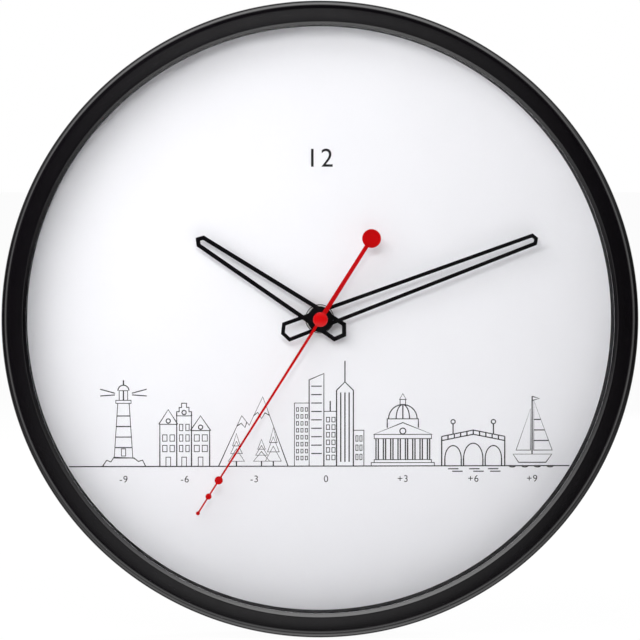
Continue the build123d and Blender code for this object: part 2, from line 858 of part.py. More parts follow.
nub_edge_share = 0.25
with BuildPart() as battery_terminal:
    with BuildSketch(cell_plane(battery_shoulder)):
        Circle(battery_nub_radius)
    extrude(amount=battery_nub_length)
    nub_rim = battery_terminal.edges().sort_by(Axis.X)[-1]
    fillet(nub_rim, radius=battery_nub_length * nub_edge_share)
battery_terminal.part.label = "battery_terminal"
export_step(battery_terminal.part, "parts/battery_terminal.step")


def add_contact_plate(side):
    """Adds the contact at one end wall of the bay, with the bump that meets the battery."""
    wall_x = side * chamber_half_width
    face_x = side * (chamber_half_width - contact_thickness)
    bump_x = side * (chamber_half_width - contact_thickness - contact_bump_height)
    half_plate = contact_plate_side / 2
    edges = sorted((wall_x, face_x))
    back = battery_depth - half_plate
    front = battery_depth + half_plate
    add_block(back, front, *edges, battery_height - half_plate, battery_height + half_plate)
    with BuildSketch(cell_plane(face_x, way=-side)) as bump:
        Circle(contact_bump_radius)
    extrude(bump.sketch, amount=abs(face_x - bump_x))


# Positive contact: its strip climbs through the partition to the board
with BuildPart() as positive_contact:
    add_contact_plate(1)
    add_block(
        battery_depth - contact_strip_width / 2,
        battery_depth + contact_strip_width / 2,
        chamber_half_width - contact_thickness,
        chamber_half_width,
        battery_height + contact_plate_side / 2,
        board_bottom + board_edge_gap,
    )
positive_contact.part.label = "positive_contact"
export_step(positive_contact.part, "parts/positive_contact.step")

# Negative contact: its strip runs along the corner of the bay and climbs to the board
riser_front = case_floor
riser_back = case_floor - contact_thickness
riser_top = chamber_bottom + contact_thickness + running_gap
board_front = board_depth + board_thickness
with BuildPart() as negative_contact:
    add_contact_plate(-1)
    add_block(
        battery_depth + contact_plate_side / 2,
        case_floor,
        -chamber_half_width,
        contact_thickness - chamber_half_width,
        battery_height - contact_strip_width / 2,
        bay_top,
    )
    add_block(riser_back, riser_front, -chamber_half_width, riser_right, strip_bottom, bay_top)
    add_block(riser_back, riser_front, riser_left, riser_right, strip_bottom, riser_top)
    add_block(
        board_front,
        riser_front,
        riser_left,
        riser_right,
        chamber_bottom + running_gap,
        riser_top,
    )
    add_block(
        board_front,
        board_front + contact_thickness,
        riser_left,
        riser_right,
        chamber_bottom + running_gap,
        board_bottom + board_edge_gap,
    )
negative_contact.part.label = "negative_contact"
export_step(negative_contact.part, "parts/negative_contact.step")

# Circuit board, staked on two posts
with BuildPart() as circuit_board:
    add_block(board_depth, board_front, board_left, board_right, board_bottom, board_top)
    for place in board_posts:
        hole_radius = board_stake_radius + press_gap
        add_disc(board_depth, board_front, hole_radius, place, mode=Mode.SUBTRACT)
circuit_board.part.label = "circuit_board"
export_step(circuit_board.part, "parts/circuit_board.step")

# Clock chip on the front of the board
chip_chamfer_share = 0.25
with BuildPart() as clock_chip:
    add_block(
        board_front,
        board_front + chip_height,
        board_middle - chip_side / 2,
        board_middle + chip_side / 2,
        chip_rise - chip_side / 2,
        chip_rise + chip_side / 2,
    )
    chamfer(clock_chip.faces().sort_by(Axis.Y)[0].edges(), length=chip_height * chip_chamfer_share)
clock_chip.part.label = "clock_chip"
export_step(clock_chip.part, "parts/clock_chip.step")

# Quartz crystal: a small can lying on the board
crystal_edge_share = 0.33
with BuildPart() as quartz_crystal:
    with BuildSketch(Plane.XY.offset(arbor_height + crystal_rise - crystal_length / 2)) as can:
        with Locations((board_middle, -board_front - crystal_radius)):
            Circle(crystal_radius)
    extrude(can.sketch, amount=crystal_length)
    fillet(quartz_crystal.edges().sort_by(Axis.Z)[-1], radius=crystal_radius * crystal_edge_share)
quartz_crystal.part.label = "quartz_crystal"
export_step(quartz_crystal.part, "parts/quartz_crystal.step")

# Stator: a flat iron plate with two arms and the hole round the rotor
with BuildPart() as stator:
    with BuildSketch(facing(stator_depth)) as stator_outline:
        arm_bottom = rotor_place[1] + stator_hole_radius - stator_arm_width / 2
        arm_middle = arm_bottom + stator_arm_width / 2
        tab_top = core_rise + core_width / 2
        with Locations((core_left_middle, (arm_bottom + tab_top) / 2)):
            Rectangle(core_width, tab_top - arm_bottom)
        with Locations(((core_left + rotor_place[0]) / 2, arm_middle)):
            Rectangle(rotor_place[0] - core_left, stator_arm_width)
        with Locations((core_right_middle, (rotor_place[1] + tab_top) / 2)):
            Rectangle(core_width, tab_top - rotor_place[1])
        with Locations(rotor_place):
            Circle(stator_ring_radius)
            Circle(stator_hole_radius, mode=Mode.SUBTRACT)
        for angle in (rotor_angle, rotor_angle + 180):
            with Locations(polar(stator_hole_radius, angle, rotor_place)):
                Circle(stator_notch_radius, mode=Mode.SUBTRACT)
        with Locations(*stator_bosses):
            Circle(stake_radius + press_gap, mode=Mode.SUBTRACT)
    extrude(stator_outline.sketch, amount=stator_thickness)
stator.part.label = "stator"
export_step(stator.part, "parts/stator.step")

# Coil core: an iron bar on the two tabs of the stator
core_back = stator_depth - stator_thickness
with BuildPart() as coil_core:
    with BuildSketch(facing(core_back)) as core_outline:
        with Locations(((core_left + core_right) / 2, core_rise)):
            Rectangle(core_right - core_left, core_width)
        with Locations(*stator_bosses):
            Circle(stake_radius + press_gap, mode=Mode.SUBTRACT)
    extrude(core_outline.sketch, amount=stator_thickness)
coil_core.part.label = "coil_core"
export_step(coil_core.part, "parts/coil_core.step")

# Bobbin and winding round the core
core_mid_depth = core_back + stator_thickness / 2
bobbin_left = core_left + core_width + bobbin_end_gap
bobbin_right = core_right - core_width - bobbin_end_gap
bobbin_radius = hypot(core_width / 2, stator_thickness / 2) + bobbin_wall


def coil_plane(x):
    """Plane square to the coil at this x; its local origin is the coil's axis."""
    return Plane(origin=(x, -core_mid_depth, arbor_height + core_rise), x_dir=(0, 1, 0), z_dir=(1, 0, 0))


with BuildPart() as coil_bobbin:
    with BuildSketch(coil_plane(bobbin_left)):
        Circle(bobbin_radius)
    extrude(amount=bobbin_right - bobbin_left)
    with BuildSketch(coil_plane(bobbin_left), coil_plane(bobbin_right - bobbin_flange_thickness)):
        Circle(bobbin_flange_radius)
    extrude(amount=bobbin_flange_thickness)
    with BuildSketch(coil_plane(bobbin_left)):
        Rectangle(stator_thickness + 2 * press_gap, core_width + 2 * press_gap)
    extrude(amount=bobbin_right - bobbin_left, mode=Mode.SUBTRACT)
coil_bobbin.part.label = "coil_bobbin"
export_step(coil_bobbin.part, "parts/coil_bobbin.step")

winding_left = bobbin_left + bobbin_flange_thickness
winding_right = bobbin_right - bobbin_flange_thickness
with BuildPart() as coil_winding:
    with BuildSketch(coil_plane(winding_left)):
        Circle(winding_radius)
        Circle(bobbin_radius, mode=Mode.SUBTRACT)
    extrude(amount=winding_right - winding_left)
coil_winding.part.label = "coil_winding"
export_step(coil_winding.part, "parts/coil_winding.step")

# Phases that put every pair of gears in mesh
seconds_phase = 0.0
intermediate_phase = meshing_phase(
    seconds_phase, seconds_wheel_teeth, intermediate_angle, intermediate_pinion_teeth
)
rotor_phase = meshing_phase(seconds_phase, intermediate_wheel_teeth, rotor_angle, rotor_pinion_teeth)
third_phase = meshing_phase(seconds_phase, seconds_pinion_teeth, third_angle, third_wheel_teeth)
centre_phase = meshing_phase(seconds_phase, third_pinion_teeth, third_angle + 180, centre_wheel_teeth)
minute_phase = meshing_phase(seconds_phase, cannon_teeth, minute_angle, minute_wheel_teeth)
hour_phase = meshing_phase(seconds_phase, minute_pinion_teeth, minute_angle + 180, hour_wheel_teeth)
setting_phase = meshing_phase(minute_phase, minute_wheel_teeth, setting_angle, setting_teeth)

# Rotor: magnet and pinion on one arbor that makes half a turn each second
magnet_back = stator_depth + stator_thickness / 2 - rotor_magnet_length / 2
rotor_pinion_back = intermediate_back - rotor_pinion_overlap
rotor_pinion_front = intermediate_front + rotor_pinion_overlap
arbor_back = train_plate_back + running_gap
socket_gap = 0.1
arbor_front = case_floor + pivot_depth - socket_gap
with BuildPart() as rotor_pinion:
    add_gear(
        rotor_pinion_back,
        rotor_pinion_front,
        rotor_pinion_teeth,
        rotor_module,
        pinion_shares,
        rotor_place,
        rotor_phase,
    )
    add_disc(arbor_back, arbor_front, rotor_arbor_radius, rotor_place)
rotor_pinion.part.label = "rotor_pinion"
export_step(rotor_pinion.part, "parts/rotor_pinion.step")

with BuildPart() as rotor_magnet:
    add_disc(magnet_back, magnet_back + rotor_magnet_length, rotor_magnet_radius, rotor_place)
    bore_radius = rotor_arbor_radius + press_gap
    magnet_front = magnet_back + rotor_magnet_length
    add_disc(magnet_back, magnet_front, bore_radius, rotor_place, mode=Mode.SUBTRACT)
rotor_magnet.part.label = "rotor_magnet"
export_step(rotor_magnet.part, "parts/rotor_magnet.step")

# Intermediate wheel: takes the steps of the rotor to the seconds wheel
with BuildPart() as intermediate_wheel:
    add_gear(
        intermediate_back,
        intermediate_front,
        intermediate_wheel_teeth,
        rotor_module,
        wheel_shares,
        intermediate_place,
        seconds_phase,
    )
    add_gear(
        intermediate_front,
        seconds_front + rotor_pinion_overlap,
        intermediate_pinion_teeth,
        seconds_module,
        pinion_shares,
        intermediate_place,
        intermediate_phase,
    )
    add_disc(arbor_back, arbor_front, arbor_radius, intermediate_place)
intermediate_wheel.part.label = "intermediate_wheel"
export_step(intermediate_wheel.part, "parts/intermediate_wheel.step")

# Seconds wheel: on the long shaft that carries the second hand
hub_radius_share = 0.75
seconds_pinion_back = seconds_front + third_gap / 2
seconds_pinion_front = stator_depth
with BuildPart() as seconds_wheel:
    add_gear(
        seconds_back,
        seconds_front,
        seconds_wheel_teeth,
        seconds_module,
        wheel_shares,
        (0, 0),
        seconds_phase,
    )
    add_gear(
        seconds_pinion_back,
        seconds_pinion_front,
        seconds_pinion_teeth,
        seconds_third_module,
        pinion_shares,
        (0, 0),
        seconds_phase,
    )
    hub_radius = seconds_third_module * seconds_pinion_teeth / 2 * hub_radius_share
    add_disc(seconds_front, seconds_pinion_back, hub_radius)
    add_disc(arbor_back, second_shaft_front, seconds_shaft_radius)
seconds_wheel.part.label = "seconds_wheel"
export_step(seconds_wheel.part, "parts/seconds_wheel.step")

# Third wheel: slows the train down between the seconds pinion and the centre wheel
third_pinion_back = third_front
third_pinion_front = centre_front + rotor_pinion_overlap
with BuildPart() as third_wheel:
    add_gear(
        third_back,
        third_front,
        third_wheel_teeth,
        seconds_third_module,
        wheel_shares,
        third_place,
        third_phase,
    )
    add_gear(
        third_pinion_back,
        third_pinion_front,
        third_pinion_teeth,
        third_centre_module,
        pinion_shares,
        third_place,
        seconds_phase,
    )
    add_disc(arbor_back, arbor_front, arbor_radius, third_place)
third_wheel.part.label = "third_wheel"
export_step(third_wheel.part, "parts/third_wheel.step")

# Minute tube: a cannon pinion on a tube that carries the minute hand
collar_height = 0.3
collar_radius = 2.2
minute_tube_back = centre_back - collar_height
with BuildPart() as minute_tube:
    add_disc(minute_tube_back, minute_tube_front, minute_tube_radius)
    add_disc(minute_tube_back, centre_back, collar_radius)
    add_gear(
        minute_wheel_back,
        minute_wheel_front,
        cannon_teeth,
        cannon_module,
        pinion_shares,
        (0, 0),
        seconds_phase,
    )
    add_disc(minute_tube_back, minute_tube_front, minute_bore_radius, mode=Mode.SUBTRACT)
minute_tube.part.label = "minute_tube"
export_step(minute_tube.part, "parts/minute_tube.step")

# Centre wheel: turns the minute tube through a friction spring
with BuildPart() as centre_wheel:
    add_gear(
        centre_back,
        centre_front,
        centre_wheel_teeth,
        third_centre_module,
        wheel_shares,
        (0, 0),
        centre_phase,
    )
    add_disc(centre_back, centre_front, minute_tube_radius + running_gap, mode=Mode.SUBTRACT)
centre_wheel.part.label = "centre_wheel"
export_step(centre_wheel.part, "parts/centre_wheel.step")

# Friction spring: a small three-armed spring washer between the wheel and the cannon pinion
spring_thickness = 0.3
spring_arms = 3
spring_arm_length = 5.0
spring_arm_width = 1.6
spring_ring_radius = 2.6
with BuildPart() as clutch_spring:
    with BuildSketch(facing(centre_front + running_gap)) as spring_outline:
        Circle(spring_ring_radius)
        with PolarLocations(spring_arm_length / 2, spring_arms):
            Rectangle(spring_arm_length, spring_arm_width)
        Circle(minute_tube_radius + running_gap, mode=Mode.SUBTRACT)
    extrude(spring_outline.sketch, amount=spring_thickness)
clutch_spring.part.label = "clutch_spring"
export_step(clutch_spring.part, "parts/clutch_spring.step")

# Minute wheel: joins the cannon pinion, the hour wheel and the setting pinion
pin_bore_radius = minute_pin_radius + running_gap
with BuildPart() as minute_wheel:
    add_gear(
        minute_wheel_back,
        minute_wheel_front,
        minute_wheel_teeth,
        cannon_module,
        wheel_shares,
        minute_place,
        minute_phase,
    )
    add_gear(
        minute_wheel_front,
        hour_wheel_front,
        minute_pinion_teeth,
        hour_module,
        pinion_shares,
        minute_place,
        seconds_phase,
    )
    add_disc(minute_wheel_back, hour_wheel_front, pin_bore_radius, minute_place, mode=Mode.SUBTRACT)
minute_wheel.part.label = "minute_wheel"
export_step(minute_wheel.part, "parts/minute_wheel.step")

# Hour wheel: turns on the minute tube, and its own tube carries the hour hand
with BuildPart() as hour_wheel:
    add_gear(
        hour_wheel_back,
        hour_wheel_front,
        hour_wheel_teeth,
        hour_module,
        wheel_shares,
        (0, 0),
        hour_phase,
    )
    add_disc(hour_wheel_back, hour_tube_front, hour_tube_radius)
    add_disc(hour_wheel_back, hour_tube_front, hour_bore_radius, mode=Mode.SUBTRACT)
hour_wheel.part.label = "hour_wheel"
export_step(hour_wheel.part, "parts/hour_wheel.step")

# Setting pinion and knob: they turn the minute wheel by hand from the back
knob_stem_length = 1.0
knob_stem_radius_share = 0.6
knob_grooves = 18
knob_groove_radius = 0.3
knob_edge_chamfer = 0.35
pinion_hub_gap = 0.1
with BuildPart() as setting_pinion:
    add_gear(
        minute_wheel_back,
        minute_wheel_front,
        setting_teeth,
        cannon_module,
        pinion_shares,
        setting_place,
        setting_phase,
    )
    add_disc(case_back - knob_stem_length, minute_wheel_back, setting_shaft_radius, setting_place)
    add_disc(minute_wheel_front, case_floor - pinion_hub_gap, setting_shaft_radius, setting_place)
    add_disc(case_floor - pinion_hub_gap, arbor_front, arbor_radius, setting_place)
setting_pinion.part.label = "setting_pinion"
export_step(setting_pinion.part, "parts/setting_pinion.step")

knob_front = case_back - running_gap
with BuildPart() as setting_knob:
    add_disc(knob_back, knob_front, knob_radius, setting_place)
    knob_rear = setting_knob.faces().sort_by(Axis.Y)[-1].edges()
    chamfer(knob_rear, length=knob_edge_chamfer)
    for index in range(knob_grooves):
        groove = polar(knob_radius, 360 / knob_grooves * index, setting_place)
        add_disc(knob_back, knob_front, knob_groove_radius, groove, mode=Mode.SUBTRACT)
    socket_radius = setting_shaft_radius + press_gap
    socket_back = case_back - knob_stem_length
    add_disc(socket_back, knob_front, socket_radius, setting_place, mode=Mode.SUBTRACT)
setting_knob.part.label = "setting_knob"
export_step(setting_knob.part, "parts/setting_knob.step")


def add_outline_hand(angle, back, thickness, tip, shoulder, shoulder_half, tail, tail_half, tail_tip, bar):
    """Adds a hand that is only an outline: two long bars, pointed at both ends, round a solid hub disc."""
    with BuildSketch(hand_plane(back, angle)) as outline:
        with BuildLine():
            Polyline(
                (tip, 0),
                (shoulder, shoulder_half),
                (-tail, tail_half),
                (-tail_tip, 0),
                (-tail, -tail_half),
                (shoulder, -shoulder_half),
                close=True,
            )
        make_face()
        offset(amount=-bar, kind=Kind.INTERSECTION, mode=Mode.SUBTRACT)
        Circle(hub_disc_radius)
    extrude(outline.sketch, amount=thickness)


# Hour hand and its collet
hour_tip = 70.3
hour_shoulder = 67.6
hour_shoulder_half = 3.1
hour_tail = 11.4
hour_tail_half = 5.2
hour_tail_tip = 14.8
hour_bar = 2.0
with BuildPart() as hour_hand:
    add_outline_hand(
        hour_hand_angle,
        hour_hand_back,
        hour_hand_thickness,
        hour_tip,
        hour_shoulder,
        hour_shoulder_half,
        hour_tail,
        hour_tail_half,
        hour_tail_tip,
        hour_bar,
    )
    collet_hole = hour_collet_radius + press_gap
    add_disc(hour_hand_back, hour_hand_front, collet_hole, mode=Mode.SUBTRACT)
hour_hand.part.label = "hour_hand"
export_step(hour_hand.part, "parts/hour_hand.step")

with BuildPart() as hour_hand_collet:
    add_disc(hour_collet_back, hour_hand_back, hour_collet_flange_radius)
    add_disc(hour_hand_back, hour_tube_front, hour_collet_radius)
    add_disc(hour_collet_back, hour_tube_front, hour_tube_radius + press_gap, mode=Mode.SUBTRACT)
hour_hand_collet.part.label = "hour_hand_collet"
export_step(hour_hand_collet.part, "parts/hour_hand_collet.step")

# Minute hand and its bush
minute_tip = 110.0
minute_shoulder = 108.3
minute_shoulder_half = 2.9
minute_tail = 17.4
minute_tail_half = 4.8
minute_tail_tip = 19.8
minute_bar = 1.8
with BuildPart() as minute_hand:
    add_outline_hand(
        minute_hand_angle,
        minute_hand_back,
        minute_hand_thickness,
        minute_tip,
        minute_shoulder,
        minute_shoulder_half,
        minute_tail,
        minute_tail_half,
        minute_tail_tip,
        minute_bar,
    )
    bush_hole = minute_bush_radius + press_gap
    add_disc(minute_hand_back, minute_hand_front, bush_hole, mode=Mode.SUBTRACT)
minute_hand.part.label = "minute_hand"
export_step(minute_hand.part, "parts/minute_hand.step")

with BuildPart() as minute_hand_bush:
    add_disc(minute_bush_back, minute_hand_back, minute_bush_flange_radius)
    add_disc(minute_hand_back, minute_tube_front, minute_bush_radius)
    add_disc(minute_bush_back, minute_tube_front, minute_tube_radius + press_gap, mode=Mode.SUBTRACT)
minute_hand_bush.part.label = "minute_hand_bush"
export_step(minute_hand_bush.part, "parts/minute_hand_bush.step")

# Second hand: a tapered pointer that ends in three dots, and a round counterweight
second_hub_radius = 3.0
pointer_root_half = 0.7
pointer_end_half = 0.375
pointer_dots = ((89.8, 1.95), (98.8, 1.45), (108.2, 0.95))
tail_root_half = 1.1
tail_end_half = 0.95
counterweight_distance = 45.2
counterweight_radius = 4.45
with BuildPart() as second_hand:
    with BuildSketch(hand_plane(second_hand_back, second_hand_angle)) as second_outline:
        pointer_end = pointer_dots[-1][0]
        with BuildLine():
            Polyline(
                (0, pointer_root_half),
                (pointer_end, pointer_end_half),
                (pointer_end, -pointer_end_half),
                (0, -pointer_root_half),
                close=True,
            )
        make_face()
        with BuildLine():
            Polyline(
                (0, tail_root_half),
                (-counterweight_distance, tail_end_half),
                (-counterweight_distance, -tail_end_half),
                (0, -tail_root_half),
                close=True,
            )
        make_face()
        for distance, radius in pointer_dots:
            with Locations((distance, 0)):
                Circle(radius)
        with Locations((-counterweight_distance, 0)):
            Circle(counterweight_radius)
        Circle(second_hub_radius)
        Circle(second_tube_radius + press_gap, mode=Mode.SUBTRACT)
    extrude(second_outline.sketch, amount=second_hand_thickness)
second_hand.part.label = "second_hand"
export_step(second_hand.part, "parts/second_hand.step")

# Tube pressed on the seconds shaft
with BuildPart() as second_hand_tube:
    add_disc(second_tube_back, second_tube_front, second_tube_radius)
    bore_radius = seconds_shaft_radius + press_gap
    add_disc(second_tube_back, second_shaft_front, bore_radius, mode=Mode.SUBTRACT)
second_hand_tube.part.label = "second_hand_tube"
export_step(second_hand_tube.part, "parts/second_hand_tube.step")

# Cap over the end of the tube
cap_roof_gap = 0.05
with BuildPart() as second_hand_cap:
    add_disc(second_hand_front, cap_front, cap_radius)
    fillet(second_hand_cap.edges().sort_by(Axis.Y)[0], radius=cap_edge_radius)
    pocket_front = second_tube_front + cap_roof_gap
    pocket_radius = second_tube_radius + press_gap
    add_disc(second_hand_front, pocket_front, pocket_radius, mode=Mode.SUBTRACT)
second_hand_cap.part.label = "second_hand_cap"
export_step(second_hand_cap.part, "parts/second_hand_cap.step")
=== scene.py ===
import logging
import math
from collections.abc import Iterator, Sequence
from contextlib import contextmanager
from dataclasses import dataclass
from enum import Enum

import bpy
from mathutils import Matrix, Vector


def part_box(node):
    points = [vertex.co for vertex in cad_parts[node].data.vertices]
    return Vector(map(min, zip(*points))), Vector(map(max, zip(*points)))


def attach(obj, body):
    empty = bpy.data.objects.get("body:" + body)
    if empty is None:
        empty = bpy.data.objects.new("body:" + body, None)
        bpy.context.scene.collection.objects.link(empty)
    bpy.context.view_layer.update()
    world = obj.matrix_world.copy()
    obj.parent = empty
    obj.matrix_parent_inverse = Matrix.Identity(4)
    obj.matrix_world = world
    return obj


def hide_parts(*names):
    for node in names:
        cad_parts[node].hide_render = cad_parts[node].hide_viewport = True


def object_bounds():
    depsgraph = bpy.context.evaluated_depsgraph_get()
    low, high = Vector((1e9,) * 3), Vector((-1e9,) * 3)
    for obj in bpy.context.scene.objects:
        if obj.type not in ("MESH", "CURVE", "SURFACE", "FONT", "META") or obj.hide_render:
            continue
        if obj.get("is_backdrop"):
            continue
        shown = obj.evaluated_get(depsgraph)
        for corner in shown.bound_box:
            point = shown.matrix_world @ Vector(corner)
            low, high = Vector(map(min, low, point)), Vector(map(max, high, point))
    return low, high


# A round wall clock: black rim, flat glass, white printed dial, outline hands, quartz movement behind.
# The dial faces -Y, the wall is the plane y = 0, and a depth is a distance in front of the wall.
# Sizes of the clock are in millimetres, distances of the studio in metres, and every mesh is in metres.

logging.basicConfig(level=logging.INFO, format="%(name)s: %(message)s")
log = logging.getLogger("wall_clock")

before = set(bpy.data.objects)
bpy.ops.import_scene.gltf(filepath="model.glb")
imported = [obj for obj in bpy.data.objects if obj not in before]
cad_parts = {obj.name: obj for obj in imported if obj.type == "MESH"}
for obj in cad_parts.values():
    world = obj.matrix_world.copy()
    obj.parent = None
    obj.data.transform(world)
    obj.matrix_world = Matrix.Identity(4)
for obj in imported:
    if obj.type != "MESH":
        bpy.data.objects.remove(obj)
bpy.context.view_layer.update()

MM = 0.001
TURN_STEPS = 288
SMALL_TURN_STEPS = 72
MERGE = 1e-6
SCREW_STEPS = 24
CORNER_STEPS = 6
WIDE_CORNER_STEPS = 8
TINY_CORNER_STEPS = 3
SMOOTH_ANGLE = math.radians(35)
SOFTENED_ANGLE = math.radians(50)
PATCH_SPAN = (0.3, 0.7)
RUB_SPAN = (0.25, 0.75)
SMOOTHEST = 0.02
ARC_SPAN = 12
RANGES = {"STRAIGHT_RANGE": "LINEAR", "SOFT_RANGE": "SMOOTHSTEP"}

Pair = tuple[float, float]
Point = Pair
Triple = tuple[float, float, float]
Piece = bpy.types.Object
Socket = bpy.types.NodeSocket
Tree = bpy.types.NodeTree


def front_of(node: str) -> float:
    """Distance of a CAD node's front from the wall, in millimetres."""
    return -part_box(node)[0].y / MM


def back_of(node: str) -> float:
    """Distance of a CAD node's back from the wall, in millimetres."""
    return -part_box(node)[1].y / MM


def depths_of(node: str) -> tuple[float, float]:
    """Depths of a CAD node's back and front."""
    return back_of(node), front_of(node)


def radius_of(node: str) -> float:
    """Radius of a round CAD node that is centred on the arbor, in millimetres."""
    low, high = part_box(node)
    return (high.x - low.x) / 2 / MM


ARBOR = (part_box("dial")[0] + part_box("dial")[1]) / 2


def place(x: float, z: float, depth: float) -> Vector:
    """Point in metres at millimetres to the right of the arbor, above it and in front of the wall."""
    return Vector((ARBOR.x + x * MM, -depth * MM, ARBOR.z + z * MM))


def linear(colour: str) -> tuple[float, float, float, float]:
    """Turns an sRGB hex colour to linear light.

    Args:
        colour: six hex digits, such as "c81212".

    Returns:
        Red, green, blue and an alpha of one.
    """
    channels = [int(colour[i : i + 2], 16) / 255 for i in (0, 2, 4)]
    light = [c / 12.92 if c <= 0.04045 else ((c + 0.055) / 1.055) ** 2.4 for c in channels]
    return (*light, 1.0)


def add_node(
    tree: Tree,
    kind: str,
    inputs: dict | None = None,
    links: dict | None = None,
    **settings: object,
) -> bpy.types.Node:
    """Adds one node to a tree, with its settings and links.

    Args:
        tree: the tree that receives the node.
        kind: the node's type, such as "ShaderNodeBump".
        inputs: values for its input sockets, by name or index.
        links: output sockets that feed its inputs, by name or index.
        settings: the node's own properties.

    Returns:
        The new node.
    """
    node = tree.nodes.new(kind)
    for name, value in settings.items():
        setattr(node, name, value)
    for socket, value in (inputs or {}).items():
        node.inputs[socket].default_value = value
    for socket, source in (links or {}).items():
        tree.links.new(source, node.inputs[socket])
    return node


def add_steps(tree: Tree, values: dict[str, Socket], *steps: Sequence[str | float]) -> None:
    """Adds small steps of arithmetic to a tree, each with a name that later steps can use.

    Args:
        tree: the tree that receives the nodes.
        values: sockets by name; each step adds its own.
        steps: rows of a step's name, its operation and its terms, which are numbers or names. The
            terms of a range are its source, where it starts and ends, and the two levels.
    """
    for name, operation, *terms in steps:
        if operation in RANGES:
            step = add_node(tree, "ShaderNodeMapRange", interpolation_type=RANGES[operation])
        else:
            step = add_node(tree, "ShaderNodeMath", operation=operation)
        for index, term in enumerate(terms):
            if isinstance(term, str):
                tree.links.new(values[term], step.inputs[index])
            else:
                step.inputs[index].default_value = term
        values[name] = step.outputs[0]


def emptied_tree(owner: bpy.types.Material | bpy.types.World) -> Tree:
    """Gives a material or a world an empty node tree, and returns the tree."""
    owner.use_nodes = True
    owner.node_tree.nodes.clear()
    return owner.node_tree


def per_metre(size_mm: float) -> float:
    """Scale of a noise whose largest features measure this many millimetres."""
    return 1 / (size_mm * MM)


@dataclass(frozen=True)
class Finish:
    """A surface finish: the base of every material of the clock.

    It gives a principled shader whose colour drifts a little over the surface and whose
    skin has a fine bump, both as noises on Object coordinates.
    """

    name: str
    colour: str
    roughness: float
    metallic: float = 0.0
    ior: float = 1.5
    grain_mm: float = 0.6
    grain_depth_mm: float = 0.01
    drift_mm: float = 18.0
    drift: float = 0.06
    wear: float = 0.08
    coat: float = 0.0
    coat_roughness: float = 0.1
    stretch: Triple = (1.0, 1.0, 1.0)

    def height(self, tree: Tree, coordinates: Socket) -> Socket:
        """Height of the surface's grain, from 0 to 1.

        Args:
            tree: the material's node tree.
            coordinates: the Object coordinates.

        Returns:
            The socket that carries the height.
        """
        grain = add_node(
            tree,
            "ShaderNodeTexNoise",
            inputs={"Scale": per_metre(self.grain_mm), "Detail": 3.0, "Roughness": 0.6},
            links={"Vector": coordinates},
        )
        return grain.outputs["Fac"]

    def shade(self, tree: Tree, coordinates: Socket) -> Socket:
        """Colour of the surface, darker and lighter in wide soft patches.

        Args:
            tree: the material's node tree.
            coordinates: the Object coordinates.

        Returns:
            The socket that carries the colour.
        """
        patches = add_node(
            tree,
            "ShaderNodeTexNoise",
            inputs={"Scale": per_metre(self.drift_mm), "Detail": 2.0},
            links={"Vector": coordinates},
        )
        red, green, blue, _ = linear(self.colour)
        ramp = add_node(tree, "ShaderNodeValToRGB", links={"Fac": patches.outputs["Fac"]})
        levels = (1 - self.drift, 1 + self.drift)
        for stop, position, level in zip(ramp.color_ramp.elements, PATCH_SPAN, levels):
            stop.position = position
            stop.color = (red * level, green * level, blue * level, 1.0)
        return ramp.outputs["Color"]

    def material(self) -> bpy.types.Material:
        """The Blender material of this finish, made once.

        Returns:
            The material.
        """
        material = bpy.data.materials.get(self.name)
        if not material:
            material = bpy.data.materials.new(self.name)
            self.wire(emptied_tree(material))
        return material

    def wire(self, tree: Tree) -> None:
        """Fills a material's tree with the shader of this finish.

        Args:
            tree: the material's empty node tree.
        """
        coordinates = add_node(tree, "ShaderNodeTexCoord").outputs["Object"]
        scaled = add_node(
            tree, "ShaderNodeMapping", inputs={"Scale": self.stretch}, links={"Vector": coordinates}
        )
        stretched = scaled.outputs["Vector"]
        bump = add_node(
            tree,
            "ShaderNodeBump",
            inputs={"Strength": 1.0, "Distance": self.grain_depth_mm * MM},
            links={"Height": self.height(tree, stretched)},
        )
        rub = add_node(
            tree,
            "ShaderNodeTexNoise",
            inputs={"Scale": per_metre(self.drift_mm / 3), "Detail": 4.0},
            links={"Vector": stretched},
        )
        values = {"rub": rub.outputs["Fac"]}
        levels = (max(self.roughness - self.wear / 2, SMOOTHEST), self.roughness + self.wear / 2)
        add_steps(tree, values, ("roughness", "STRAIGHT_RANGE", "rub", *RUB_SPAN, *levels))
        shader = add_node(
            tree,
            "ShaderNodeBsdfPrincipled",
            inputs={
                "Metallic": self.metallic,
                "IOR": self.ior,
                "Coat Weight": self.coat,
                "Coat Roughness": self.coat_roughness,
            },
            links={
                "Base Color": self.shade(tree, coordinates),
                "Roughness": values["roughness"],
                "Normal": bump.outputs["Normal"],
            },
        )
        add_node(tree, "ShaderNodeOutputMaterial", links={"Surface": shader.outputs["BSDF"]})

    def dress(self, *pieces: Piece) -> None:
        """Gives this finish to whole pieces.

        Args:
            pieces: objects whose every face takes the finish.
        """
        for piece in pieces:
            if piece.data.materials:
                for index in range(len(piece.data.materials)):
                    piece.material_slots[index].material = self.material()
            else:
                piece.data.materials.append(self.material())


def from_arbor(tree: Tree, coordinates: Socket) -> Socket:
    """Vector from the arbor's axis to each point, square to the axis.

    Args:
        tree: the material's node tree.
        coordinates: the Object coordinates.

    Returns:
        The socket that carries the vector.
    """
    centred = add_node(
        tree,
        "ShaderNodeVectorMath",
        operation="SUBTRACT",
        inputs={1: (ARBOR.x, 0.0, ARBOR.z)},
        links={0: coordinates},
    )
    flat = add_node(
        tree,
        "ShaderNodeVectorMath",
        operation="MULTIPLY",
        inputs={1: (1.0, 0.0, 1.0)},
        links={0: centred.outputs["Vector"]},
    )
    return flat.outputs["Vector"]


